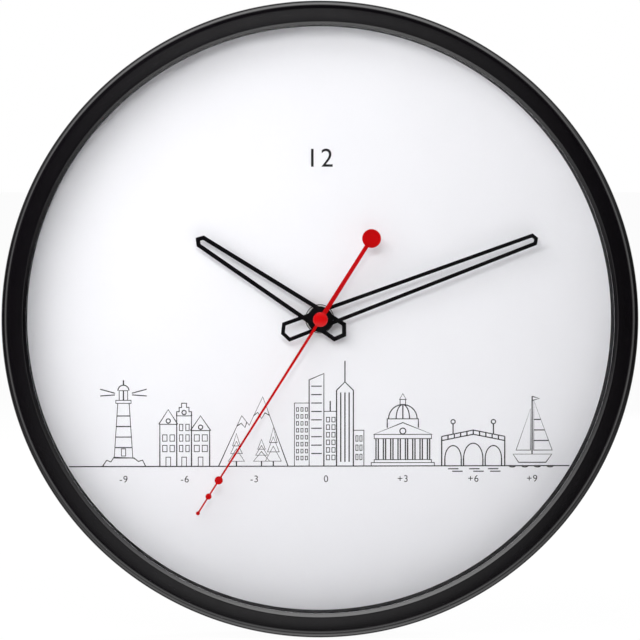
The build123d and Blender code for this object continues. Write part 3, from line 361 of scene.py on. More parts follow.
@dataclass(frozen=True)
class PaintedShadeEdgeFinish(Finish):
    """A finish of a round washer: a pale face with painted shade, a thin dark band, at its outer edge."""

    # Colour, start radius and softness of the painted shade on the washer's outer edge.
    painted_shade_colour: str = "101012"
    painted_shade_from_mm: float = 6.45
    painted_shade_blur_mm: float = 0.1

    def shade(self, tree: Tree, coordinates: Socket) -> Socket:
        """Colour of the face, turned dark outside a radius as painted shade along the washer's edge.

        Args:
            tree: the material's node tree.
            coordinates: the Object coordinates.

        Returns:
            The socket that carries the colour.
        """
        flat = from_arbor(tree, coordinates)
        radius = add_node(tree, "ShaderNodeVectorMath", operation="LENGTH", links={0: flat})
        values = {"radius": radius.outputs["Value"]}
        span = (self.painted_shade_from_mm * MM, (self.painted_shade_from_mm + self.painted_shade_blur_mm) * MM)
        # The step named edge is the mask of the painted shade: it darkens the colour outside this radius.
        add_steps(tree, values, ("edge", "STRAIGHT_RANGE", "radius", *span, 0.0, 1.0))
        blend = add_node(
            tree,
            "ShaderNodeMix",
            data_type="RGBA",
            inputs={7: linear(self.painted_shade_colour)},
            links={0: values["edge"], 6: super().shade(tree, coordinates)},
        )
        return blend.outputs[2]


@dataclass(frozen=True)
class WoundFinish(Finish):
    """A finish of fine wire turns side by side along X."""

    wire_mm: float = 0.35

    def height(self, tree: Tree, coordinates: Socket) -> Socket:
        """Height of wire turns, one wire wide each.

        Args:
            tree: the material's node tree.
            coordinates: the Object coordinates.

        Returns:
            The socket that carries the height.
        """
        turns = add_node(
            tree,
            "ShaderNodeTexWave",
            bands_direction="X",
            inputs={"Scale": per_metre(self.wire_mm) / math.tau * 2, "Distortion": 0.3},
            links={"Vector": coordinates},
        )
        return turns.outputs["Fac"]


@dataclass(frozen=True)
class ClearFinish(Finish):
    """Clear float glass: it lets light through unbent and mirrors more the flatter it is seen."""

    falloff: float = 5.0

    def wire(self, tree: Tree) -> None:
        """Fills a material's tree with a see-through and a mirroring share.

        Args:
            tree: the material's empty node tree.
        """
        coordinates = add_node(tree, "ShaderNodeTexCoord").outputs["Object"]
        ripple = add_node(
            tree,
            "ShaderNodeBump",
            inputs={"Strength": 1.0, "Distance": self.grain_depth_mm * MM},
            links={"Height": self.height(tree, coordinates)},
        )
        clear = add_node(tree, "ShaderNodeBsdfTransparent", inputs={"Color": linear(self.colour)})
        mirror = add_node(
            tree,
            "ShaderNodeBsdfGlossy",
            inputs={"Roughness": self.roughness},
            links={"Normal": ripple.outputs["Normal"]},
        )
        straight = ((self.ior - 1) / (self.ior + 1)) ** 2
        slant = add_node(tree, "ShaderNodeLayerWeight", inputs={"Blend": 0.5})
        values = {"slant": slant.outputs["Facing"]}
        add_steps(
            tree,
            values,
            ("steep", "POWER", "slant", self.falloff),
            ("share", "MULTIPLY_ADD", "steep", 1 - straight, straight),
        )
        blend = add_node(
            tree,
            "ShaderNodeMixShader",
            links={0: values["share"], 1: clear.outputs["BSDF"], 2: mirror.outputs["BSDF"]},
        )
        add_node(tree, "ShaderNodeOutputMaterial", links={"Surface": blend.outputs["Shader"]})


# Injection-moulded ABS with a satin skin: deep black, a dim sheen, a soft bright line on its edge.
SATIN_ABS = Finish(
    "satin_black_abs", "09070a", 0.17, grain_mm=0.5, grain_depth_mm=0.0006, drift=0.05, wear=0.04
)
# The same moulding where it isn't polished: a plain matt black wall between glass and dial.
INNER_ABS = Finish("matt_black_abs_wall", "0d0c0f", 0.8, ior=1.2, grain_mm=0.5, grain_depth_mm=0.008)
# Float glass: nearly colourless, with a ripple too faint to bend what lies behind it.
FLOAT_GLASS = ClearFinish("float_glass", "fefefe", 0.02, grain_mm=90.0, grain_depth_mm=0.004)
# Screen-printed white enamel on sheet aluminium: an even matt white with a faint tooth.
DIAL_ENAMEL = Finish("white_dial_enamel", "f4f4f8", 0.62, grain_mm=0.5, grain_depth_mm=0.0006, drift=0.004)
# Screen-printing ink: flat near-black lines, so thin that they look grey on the enamel.
GREY_INK = Finish("grey_printing_ink", "0e0d10", 0.7, grain_mm=0.3, grain_depth_mm=0.004, drift=0.12)
# Stamped aluminium with black stoving lacquer: deep black, a soft sheen on the rolled edges.
BLACK_LACQUER = Finish("glossy_black_lacquer", "09080b", 0.14, grain_mm=0.4, grain_depth_mm=0.001, drift=0.1)
# The same stamping in red lacquer: a clear signal red with a soft sheen.
RED_LACQUER = Finish("glossy_red_lacquer", "bb0508", 0.12, grain_mm=0.4, grain_depth_mm=0.001, drift=0.04)
# Glossy moulded polystyrene: a little brighter than the lacquer, with a sharp light on its round edge.
RED_STYRENE = Finish("red_cap_polystyrene", "d20a0e", 0.12, grain_mm=0.8, grain_depth_mm=0.001, drift=0.04)
# Zinc-plated washer: a pale satin face inside one thin dark line, which is painted shade along its edge.
WASHER_WITH_PAINTED_SHADE = PaintedShadeEdgeFinish("steel_washer_painted_edge_shade", "d9dadd", 0.45, grain_mm=0.3, grain_depth_mm=0.003)
# Brass turned on a lathe: warm yellow metal with fine marks.
TURNED_BRASS = Finish("turned_brass", "c9a65a", 0.28, metallic=1.0, grain_mm=0.25, grain_depth_mm=0.003)
# Zinc-plated cold-rolled steel: cool bright grey, brushed along the strip, cloudy where it was handled.
ZINC_STEEL = Finish(
    "zinc_plated_steel",
    "b9bcbf",
    0.32,
    metallic=1.0,
    grain_mm=0.35,
    grain_depth_mm=0.006,
    drift_mm=9.0,
    drift=0.09,
    wear=0.16,
    stretch=(0.12, 1.0, 1.0),
)
# High-impact polystyrene with a spark-eroded grain: matt black with a fine even texture.
GRAINED_STYRENE = Finish(
    "grained_black_polystyrene", "1d1d1f", 0.58, grain_mm=0.45, grain_depth_mm=0.03, drift=0.08, wear=0.12
)
# ABS of the movement: smoother and a shade lighter than the back plate round it.
MOVEMENT_ABS = Finish("movement_black_abs", "232326", 0.44, grain_mm=0.9, grain_depth_mm=0.01, drift=0.07)
# Acetal of the wheels: milky white, waxy.
ACETAL = Finish("natural_acetal", "e6e2d6", 0.38, ior=1.48, grain_mm=0.5, grain_depth_mm=0.004)
# Grey acetal of the knob.
GREY_ACETAL = Finish("grey_acetal", "a9a9a4", 0.42, ior=1.48, grain_mm=0.5, grain_depth_mm=0.008)
# Neoprene: dead black and soft.
NEOPRENE = Finish("black_neoprene", "1a1a1a", 0.85, grain_mm=0.35, grain_depth_mm=0.02)
# Shrink sleeve of the battery: glossy film over a steel can.
SHRINK_SLEEVE = Finish(
    "battery_shrink_sleeve", "3d4a55", 0.3, grain_mm=4.0, grain_depth_mm=0.01, coat=0.5, coat_roughness=0.1
)
# Nickel-plated steel: bright and slightly warm.
NICKEL = Finish("nickel_plate", "c6c2b8", 0.2, metallic=1.0, grain_mm=0.3, grain_depth_mm=0.002)
# Paper-phenolic laminate: brown-green board with a fine mottled skin.
LAMINATE = Finish(
    "phenolic_laminate", "3f6b3a", 0.5, grain_mm=0.4, grain_depth_mm=0.006, drift_mm=1.5, drift=0.2
)
# Epoxy resin of the chip: black and slightly grainy.
CHIP_RESIN = Finish("chip_epoxy_resin", "202022", 0.6, grain_mm=0.2, grain_depth_mm=0.006)
# Annealed soft iron: dull dark grey metal.
SOFT_IRON = Finish("annealed_soft_iron", "77767a", 0.48, metallic=1.0, grain_mm=0.3, grain_depth_mm=0.005)
# Nylon of the bobbin: off-white.
NYLON = Finish("bobbin_nylon", "ddd8c8", 0.45, grain_mm=0.5, grain_depth_mm=0.005)
# Enamelled copper wire: deep orange metal in fine turns.
COPPER_WIRE = WoundFinish("enamelled_copper_wire", "b5622c", 0.3, metallic=1.0, grain_depth_mm=0.08)
# Sintered magnet: dark grey with a dusty skin.
MAGNET = Finish("sintered_magnet", "4a4b4e", 0.55, metallic=0.6, grain_mm=0.2, grain_depth_mm=0.006)

# Finishes of the CAD nodes that keep their own mesh, all inside the case.
NODE_FINISHES = {
    "rubber_washer": NEOPRENE,
    "battery_terminal": NICKEL,
    "positive_contact": NICKEL,
    "negative_contact": NICKEL,
    "clutch_spring": NICKEL,
    "circuit_board": LAMINATE,
    "clock_chip": CHIP_RESIN,
    "quartz_crystal": NICKEL,
    "stator": SOFT_IRON,
    "coil_core": SOFT_IRON,
    "coil_bobbin": NYLON,
    "coil_winding": COPPER_WIRE,
    "rotor_magnet": MAGNET,
    "rotor_pinion": ACETAL,
    "intermediate_wheel": ACETAL,
    "seconds_wheel": ACETAL,
    "third_wheel": ACETAL,
    "centre_wheel": ACETAL,
    "minute_wheel": ACETAL,
    "hour_wheel": ACETAL,
    "setting_pinion": ACETAL,
    "minute_tube": TURNED_BRASS,
    "hour_hand_collet": TURNED_BRASS,
    "minute_hand_bush": TURNED_BRASS,
    "second_hand_tube": TURNED_BRASS,
    "train_plate": MOVEMENT_ABS,
}


def deselect() -> None:
    """Leaves object mode active and nothing selected."""
    if bpy.context.object and bpy.context.object.mode != "OBJECT":
        bpy.ops.object.mode_set(mode="OBJECT")
    bpy.ops.object.select_all(action="DESELECT")


def activate(piece: Piece) -> None:
    """Selects one piece alone and makes it active."""
    deselect()
    piece.select_set(True)
    bpy.context.view_layer.objects.active = piece


def select_whole() -> None:
    """Selects the whole mesh of the piece that is open in edit mode."""
    bpy.ops.mesh.select_all(action="SELECT")


@contextmanager
def editing(piece: Piece) -> Iterator[None]:
    """Opens a piece in edit mode with nothing selected, and closes it again.

    Args:
        piece: the mesh object to edit.
    """
    activate(piece)
    bpy.ops.object.mode_set(mode="EDIT")
    bpy.ops.mesh.select_all(action="DESELECT")
    yield
    bpy.ops.object.mode_set(mode="OBJECT")


def settle(piece: Piece) -> None:
    """Moves a piece's place into its mesh, so that its object sits at the origin."""
    activate(piece)
    bpy.ops.object.transform_apply(location=True, rotation=True, scale=True)


def smooth(piece: Piece, angle: float = SMOOTH_ANGLE) -> None:
    """Shades a piece smooth, apart from edges sharper than the angle."""
    activate(piece)
    bpy.ops.object.shade_smooth_by_angle(angle=angle)


def traced(name: str, points: Sequence[Vector], closed: bool = True) -> Piece:
    """Draws a chain of edges by extruding one vertex from point to point.

    Args:
        name: name of the new piece.
        points: the places to visit, in metres.
        closed: whether the chain returns to its first point.

    Returns:
        The new object, at the origin.
    """
    deselect()
    bpy.ops.mesh.primitive_plane_add(size=MM, location=points[0])
    piece = bpy.context.object
    piece.name = piece.data.name = name
    settle(piece)
    with editing(piece):
        select_whole()
        bpy.ops.mesh.merge(type="CENTER")
        route = [*points[1:], points[0]] if closed else points[1:]
        here = points[0]
        for there in route:
            bpy.ops.mesh.extrude_vertices_move(TRANSFORM_OT_translate={"value": there - here})
            here = there
        select_whole()
        bpy.ops.mesh.remove_doubles(threshold=MERGE)
    return piece


def turned(
    name: str,
    profile: Sequence[Point],
    centre: Point = (0.0, 0.0),
    steps: int = TURN_STEPS,
    closed: bool = True,
) -> Piece:
    """Turns a profile round an axis that is parallel to the arbor, as on a lathe.

    Args:
        name: name of the new piece.
        profile: radius and depth of each point, in millimetres.
        centre: place of the axis, in millimetres from the arbor.
        steps: faces round the axis.
        closed: whether the profile is a closed loop, or starts and ends on the axis.

    Returns:
        The new object, at the origin.
    """
    points = [place(centre[0] + radius, centre[1], depth) for radius, depth in profile]
    piece = traced(name, points, closed=closed)
    with editing(piece):
        select_whole()
        bpy.ops.mesh.spin(steps=steps, angle=math.tau, center=place(*centre, 0.0), axis=(0.0, 1.0, 0.0))
        select_whole()
        bpy.ops.mesh.remove_doubles(threshold=MERGE)
        bpy.ops.mesh.normals_make_consistent(inside=False)
    smooth(piece)
    return piece


def solid_disc(
    name: str,
    radius: float,
    back: float,
    front: float,
    centre: Point = (0.0, 0.0),
    steps: int = SMALL_TURN_STEPS,
) -> Piece:
    """Turns a solid disc.

    Args:
        name: name of the new piece.
        radius: half of its width, in millimetres.
        back: depth of its back, in millimetres.
        front: depth of its front, in millimetres.
        centre: place of its axis, in millimetres from the arbor.
        steps: faces round the axis.

    Returns:
        The new object, at the origin.
    """
    profile = ((0.0, back), (radius, back), (radius, front), (0.0, front))
    return turned(name, profile, centre=centre, steps=steps, closed=False)


def rounded(corners: Sequence[Triple], steps: int = CORNER_STEPS, loop: bool = True) -> list[Point]:
    """Rounds the corners of an outline with arcs.

    Args:
        corners: x, y and fillet radius of each corner.
        steps: spans of each arc.
        loop: whether the outline is closed; the end corners of an open one stay sharp.

    Returns:
        The points of the outline.
    """
    points = []
    count = len(corners)
    for index, (x, y, radius) in enumerate(corners):
        if radius == 0 or not (loop or 0 < index < count - 1):
            points.append((x, y))
            continue
        corner = Vector((x, y))
        before = (Vector(corners[index - 1][:2]) - corner).normalized()
        after = (Vector(corners[(index + 1) % count][:2]) - corner).normalized()
        half = before.angle(after) / 2
        centre = corner + (before + after).normalized() * (radius / math.sin(half))
        start = corner + before * (radius / math.tan(half)) - centre
        sweep = start.angle_signed(corner + after * (radius / math.tan(half)) - centre)
        for step in range(steps + 1):
            turn = -sweep * step / steps
            points.append(
                (
                    centre.x + start.x * math.cos(turn) - start.y * math.sin(turn),
                    centre.y + start.x * math.sin(turn) + start.y * math.cos(turn),
                )
            )
    return points


def slab(name: str, outline: Sequence[Point], back: float, front: float) -> Piece:
    """Cuts a flat sheet to an outline and gives it its thickness.

    Args:
        name: name of the new piece.
        outline: corners in millimetres from the arbor, seen from the front.
        back: depth of its back, in millimetres.
        front: depth of its front, in millimetres.

    Returns:
        The new object, at the origin.
    """
    piece = traced(name, [place(x, z, back) for x, z in outline])
    with editing(piece):
        select_whole()
        bpy.ops.mesh.edge_face_add()
        thicken(front - back)
    return piece


def thicken(thickness: float) -> None:
    """Extrudes the selected sheet of the open piece towards the room, and turns its faces outwards.

    Args:
        thickness: how far, in millimetres.
    """
    bpy.ops.mesh.extrude_region_move(TRANSFORM_OT_translate={"value": (0.0, -thickness * MM, 0.0)})
    select_whole()
    bpy.ops.mesh.normals_make_consistent(inside=False)


def apply_modifier(piece: Piece, kind: str, **settings: object) -> None:
    """Adds a modifier to a piece and applies it.

    Args:
        piece: the object to change.
        kind: the modifier's type, such as "BEVEL".
        settings: the modifier's properties.
    """
    activate(piece)
    modifier = piece.modifiers.new(kind.lower(), kind)
    for name, value in settings.items():
        setattr(modifier, name, value)
    bpy.ops.object.modifier_apply(modifier=modifier.name)


def cut_or_join(piece: Piece, tool: Piece, operation: str) -> None:
    """Joins a tool to a piece or cuts it away, and removes the tool.

    Args:
        piece: the object that stays.
        tool: the object that is used up.
        operation: "UNION" or "DIFFERENCE".
    """
    apply_modifier(piece, "BOOLEAN", operation=operation, object=tool, solver="EXACT")
    bpy.data.objects.remove(tool)


def soften(piece: Piece, width: float, segments: int = 2, angle: float = 40.0) -> None:
    """Rounds a piece's sharp edges and shades it.

    Args:
        piece: the object to finish.
        width: width of the rounding, in millimetres.
        segments: spans of the rounding.
        angle: edges sharper than this many degrees are rounded.
    """
    apply_modifier(
        piece,
        "BEVEL",
        width=width * MM,
        segments=segments,
        limit_method="ANGLE",
        angle_limit=math.radians(angle),
        use_clamp_overlap=True,
    )
    smooth(piece, SOFTENED_ANGLE)
    apply_modifier(piece, "WEIGHTED_NORMAL", keep_sharp=True)


def finish_piece(piece: Piece, finish: Finish, body: str, slot: str, *nodes: str) -> None:
    """Dresses a piece, hangs it on its body and hides the CAD nodes that it replaces.

    Args:
        piece: the finished mesh object.
        finish: its surface finish.
        body: the CAD body that it moves with.
        slot: the record's material slot of its finish; not used.
        nodes: CAD nodes that it replaces.
    """
    finish.dress(piece)
    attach(piece, body)
    if nodes:
        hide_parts(*nodes)
    log.info("%s rides on %s, %d faces", piece.name, body, len(piece.data.polygons))


@dataclass
class Rim:
    """The deep black ring with its hollow back, its glass and the wall inside it."""

    face_slope: float = 0.7
    face_width: float = 9.9
    bevel: float = 1.7
    wall: float = 2.5
    inner_wall: float = 2.2
    edge_radius: float = 4.2
    mouth_radius: float = 0.5
    lip_radius: float = 0.15
    heel_radius: float = 0.5
    inner_corner: float = 1.0
    glass_gap: float = 0.4
    boss_count: int = 8
    boss_first_angle: float = 22.5
    boss_radius: float = 3.0
    boss_inset: float = 2.3
    boss_bore: float = 1.45
    boss_depth: float = 9.0
    glass_edge: float = 0.3

    def shell(self) -> Piece:
        """The rim itself, turned from one closed profile, with its screw bosses.

        Returns:
            The new object.
        """
        outer = radius_of("rim")
        front = front_of("rim")
        mouth = outer - self.face_width
        lip = mouth - self.bevel
        rebate = radius_of("glass_lens") + self.glass_gap
        heel = front_of("back_plate")
        glass_front = front_of("glass_lens")
        channel = rebate + self.inner_wall
        skirt = outer - self.wall
        profile = rounded(
            (
                (skirt, 0.0, self.heel_radius),
                (outer, 0.0, self.heel_radius),
                (outer, front - self.face_slope, self.edge_radius),
                (mouth, front, self.mouth_radius),
                (lip, front - self.bevel, self.lip_radius),
                (lip, glass_front, 0.0),
                (rebate, glass_front, 0.0),
                (rebate, heel, 0.0),
                (channel, heel, 0.0),
                (channel, front - self.wall, self.inner_corner),
                (skirt, front - self.wall, self.inner_corner),
            ),
            steps=WIDE_CORNER_STEPS,
        )
        shell = turned("rim_shell", profile)
        circle = radius_of("back_plate") - self.boss_inset
        for index in range(self.boss_count):
            angle = math.radians(self.boss_first_angle + 360 / self.boss_count * index)
            centre = (circle * math.cos(angle), circle * math.sin(angle))
            boss = turned(
                "rim_boss",
                (
                    (self.boss_bore, heel),
                    (self.boss_radius, heel),
                    (self.boss_radius, front - self.wall + self.mouth_radius),
                    (0.0, front - self.wall + self.mouth_radius),
                    (0.0, heel + self.boss_depth),
                    (self.boss_bore, heel + self.boss_depth),
                ),
                centre=centre,
                steps=SCREW_STEPS,
            )
            activate(shell)
            boss.select_set(True)
            bpy.ops.object.join()
        return shell

    def build(self) -> None:
        """Makes and dresses the rim, the glass and the wall between glass and dial."""
        finish_piece(self.shell(), SATIN_ABS, "clock_case", "satin_black_plastic", "rim")

        glass_radius = radius_of("glass_lens")
        back, front = depths_of("glass_lens")
        edge = self.glass_edge
        pane = turned(
            "glass_pane",
            (
                (0.0, back),
                (glass_radius - edge, back),
                (glass_radius, back + edge),
                (glass_radius, front - edge),
                (glass_radius - edge, front),
                (0.0, front),
            ),
            closed=False,
        )
        finish_piece(pane, FLOAT_GLASS, "clock_case", "clear_glass", "glass_lens")

        lip = radius_of("rim") - self.face_width - self.bevel
        outer = radius_of("spacer_ring")
        back, front = depths_of("spacer_ring")
        wall = turned(
            "spacer_wall",
            rounded(
                (
                    (lip, back, self.lip_radius),
                    (outer, back, self.lip_radius),
                    (outer, front, self.lip_radius),
                    (lip, front, self.mouth_radius),
                )
            ),
        )
        finish_piece(wall, INNER_ABS, "clock_case", "satin_black_plastic", "spacer_ring")


class Pen:
    """Collects the strokes of a print, in millimetres from the arbor, and lays them on the dial."""

    def __init__(self, base: float) -> None:
        """Starts an empty print.

        Args:
            base: height of the ground line above the arbor.
        """
        self.base = base
        self.middle = 0.0
        self.strokes: list[tuple[list[Point], bool]] = []

    def line(self, *points: Point, closed: bool = False) -> None:
        """Draws straight lines through points that are given above the ground line.

        Args:
            points: x from the motif's middle and height over the ground line.
            closed: whether the last point joins the first.
        """
        self.strokes.append(([(self.middle + x, self.base + y) for x, y in points], closed))

    def box(self, left: float, bottom: float, right: float, top: float) -> None:
        """Draws a rectangle."""
        self.line((left, bottom), (right, bottom), (right, top), (left, top), closed=True)

    def arc(self, x: float, y: float, radius: float, start: float, end: float, squash: float = 1.0) -> None:
        """Draws an arc.

        Args:
            x: centre, from the motif's middle.
            y: centre, over the ground line.
            radius: half of its width.
            start: first angle in degrees, from the right and anticlockwise.
            end: last angle.
            squash: height as a share of the width.
        """
        spans = max(4, int(abs(end - start) / ARC_SPAN))
        angles = [math.radians(start + (end - start) * step / spans) for step in range(spans + 1)]
        self.line(*[(x + radius * math.cos(a), y + radius * squash * math.sin(a)) for a in angles])

    def windows(self, left: float, bottom: float, columns: int, rows: int, pitch: Point, size: Point) -> None:
        """Draws a grid of small windows.

        Args:
            left: left edge of the first window.
            bottom: bottom edge of the first window.
            columns: windows side by side.
            rows: windows one over another.
            pitch: distance from one window to the next, across and up.
            size: width and height of a window.
        """
        for column in range(columns):
            for row in range(rows):
                x = left + column * pitch[0]
                y = bottom + row * pitch[1]
                self.box(x, y, x + size[0], y + size[1])

    def lay(self, name: str, width: float, depth: float, thickness: float) -> Piece:
        """Turns the strokes to thin raised ribbons of ink on the dial.

        Args:
            name: name of the new piece.
            width: width of a stroke.
            depth: depth of the dial's front.
            thickness: how far the ink stands over the dial.

        Returns:
            The new mesh object.
        """
        curve = bpy.data.curves.new(name, "CURVE")
        curve.dimensions = "3D"
        curve.bevel_depth = width / 2 * MM
        curve.bevel_resolution = 1
        curve.use_fill_caps = True
        for points, closed in self.strokes:
            spline = curve.splines.new("POLY")
            spline.points.add(len(points) - 1)
            for knot, (x, z) in zip(spline.points, points):
                knot.co = (*place(x, z, 0.0), 1.0)
            spline.use_cyclic_u = closed
        ink = bpy.data.objects.new(name, curve)
        bpy.context.scene.collection.objects.link(ink)
        return flattened(ink, width, depth, thickness)


class Skyline(Pen):
    """The motifs of a generic skyline, each drawn round the pen's middle."""

    def lighthouse(self) -> None:
        """Draws a lighthouse on rocks."""
        self.line((-4.4, 4), (-2.7, 30), (2.7, 30), (4.4, 4), closed=True)
        for low, high in ((9, 14), (19, 24)):
            for y in (low, high):
                half = 4.4 - 1.7 * (y - 4) / 26
                self.line((-half, y), (half, y))
        self.box(-3.6, 30, 3.6, 31.4)
        self.box(-2.0, 31.4, 2.0, 36)
        self.line((0, 31.4), (0, 36))
        self.arc(0, 36, 2.6, 0, 180)
        self.line((0, 38.6), (0, 41))
        self.line((-10, 0), (-8, 3), (-6, 2.2), (-4.6, 4.4), (5, 4), (7, 2.4), (9, 3), (10.5, 0))
        for side in (-1, 1):
            for rise in (0.0, 3.2):
                self.line((side * 4, 34 + rise / 4), (side * 11, 33.5 + rise))
        self.box(-1, 5, 1, 8.4)

    def houses(self) -> None:
        """Draws a row of narrow gabled town houses."""
        widths = (8.0, 7.0, 8.6)
        heights = (20.0, 24.0, 17.0)
        left = -sum(widths) / 2
        for index, (width, height) in enumerate(zip(widths, heights)):
            right = left + width
            middle = (left + right) / 2
            self.line((left, 0), (left, height), (right, height), (right, 0))
            if index == 1:
                step = width / 6
                rise = [(left + n // 2 * step, height + (n + 1) // 2 * 2) for n in range(6)]
                self.line(*rise, *[(left + right - x, y) for x, y in reversed(rise)])
            else:
                self.line((left - 0.5, height), (middle, height + 7), (right + 0.5, height))
            rows = int(height / 5.4) - 1
            self.windows(left + 1.3, 7, 2, rows, (width / 2 - 0.5, 5.0), (width / 2 - 1.9, 3.0))
            self.box(middle - 1.1, 0, middle + 1.1, 4.4)
            self.arc(middle, height + 1.6, 1.0, 0, 360)
            left = right

    def pines(self) -> None:
        """Draws two pines before a snowy peak."""
        self.line((-17, 0), (-6, 24), (-2.4, 19.5), (4, 33), (16, 0))
        self.line((-0.4, 24), (1.6, 25.6), (3.4, 22.6), (5, 25.4), (7.2, 24.2))
        self.line((-8.2, 19.2), (-6.2, 20.4), (-4.4, 18.4), (-3.6, 21))
        for centre, tall in ((-8.5, 14.0), (9.0, 17.0), (3.4, 11.0)):
            self.line((centre, 0), (centre, 2.4))
            for tier in range(3):
                low = 2.4 + tall * 0.26 * tier
                half = 3.8 - tier
                peak = low + tall * 0.42
                self.line((centre - half, low), (centre, peak), (centre + half, low), closed=True)

    def towers(self) -> None:
        """Draws a block of office towers."""
        self.box(-15, 0, -8, 30)
        self.windows(-14, 3, 3, 8, (2.1, 3.3), (1.0, 1.7))
        self.line((-8, 22), (-8, 41), (-1, 44), (-1, 0))
        for y in (6, 10, 14, 18, 22, 26, 30, 34, 38):
            self.line((-7, y), (-2, y))
        self.box(-1, 0, 5, 26)
        self.windows(0.2, 3, 2, 6, (2.6, 3.6), (1.5, 2.2))
        self.line((2, 26), (2, 31))
        self.line((5, 0), (5, 36), (9, 40), (13, 36), (13, 0))
        for offset in (7, 9, 11):
            self.line((offset, 2), (offset, 35))
        self.line((9, 40), (9, 50))
        self.box(13, 0, 18, 17)
        self.windows(14.2, 3, 2, 3, (1.9, 4.4), (1.0, 2.6))

    def hall(self) -> None:
        """Draws a domed hall with columns."""
        self.box(-15, 0, 15, 1.6)
        self.box(-13.6, 1.6, 13.6, 3)
        for index in range(8):
            column = -12.2 + index * 3.49
            self.line((column - 0.55, 3), (column - 0.55, 13))
            self.line((column + 0.55, 3), (column + 0.55, 13))
        self.box(-13.6, 13, 13.6, 15)
        self.line((-14, 15), (0, 20.6), (14, 15), closed=True)
        self.arc(0, 16.6, 1.4, 0, 360)
        self.line((-7.4, 18.2), (-7.4, 22.4), (7.4, 22.4), (7.4, 18.2))
        self.arc(0, 22.4, 6.8, 0, 180)
        self.arc(0, 22.4, 3.2, 0, 180, squash=2.125)
        self.line((0, 22.4), (0, 29.2))
        self.box(-1.3, 29.2, 1.3, 31.6)
        self.line((-1.6, 31.6), (0, 34.4), (1.6, 31.6), closed=True)

    def bridge(self) -> None:
        """Draws a stone bridge of three arches over water."""
        self.line((-15, 12), (0, 15), (15, 12))
        self.line((-15, 14), (0, 17), (15, 14))
        for centre, half in ((-9.6, 3.9), (0, 4.6), (9.6, 3.9)):
            self.arc(centre, 3.4, half, 0, 180, squash=1.6)
            self.line((centre - half, 0), (centre - half, 3.4))
            self.line((centre + half, 0), (centre + half, 3.4))
        for side in (-1, 1):
            self.line((side * 15, 0), (side * 15, 14))
            self.line((side * 9.6, 15.1), (side * 9.6, 20))
            self.arc(side * 9.6, 21, 1.0, 0, 360)
        for index in range(9):
            post = -12 + index * 3
            top = 17 - abs(post) / 5
            self.line((post, top - 2), (post, top))
        for row, y in enumerate((-1.4, -2.6)):
            for start in (-12 + row * 2, -2 + row * 2, 7 + row):
                self.line((start, y), (start + 5, y))

    def boat(self) -> None:
        """Draws a sailing boat on waves."""
        self.line((-9, 5.5), (-6.4, 1.6), (6.6, 1.6), (9.4, 5.5), closed=True)
        self.line((0, 5.5), (0, 33))
        self.line((0.8, 31), (0.8, 7.4), (9.6, 7.4), closed=True)
        self.line((-0.8, 27), (-0.8, 7.4), (-7.6, 7.4), closed=True)
        self.line((0, 33), (3.4, 32), (0, 31))
        for y in (12, 17, 22):
            self.line((0.8, y), (0.8 + 8.8 * (31 - y) / 23.6, y))
        for start in (-11, -5, 1, 7):
            self.arc(start + 1.6, 0.2, 1.6, 180, 360, squash=0.5)


def flattened(ink: Piece, height: float, depth: float, thickness: float) -> Piece:
    """Makes a curve or a text a mesh and presses it flat on the dial.

    Args:
        ink: the curve or text object, centred on the wall plane.
        height: its thickness before, in millimetres.
        depth: depth of the dial's front.
        thickness: how far the ink stands over the dial.

    Returns:
        The mesh object, at the origin.
    """
    activate(ink)
    bpy.ops.object.convert(target="MESH")
    ink = bpy.context.object
    settle(ink)
    ink.scale = (1.0, 2 * thickness / height, 1.0)
    ink.location = (0.0, -depth * MM, 0.0)
    settle(ink)
    return ink


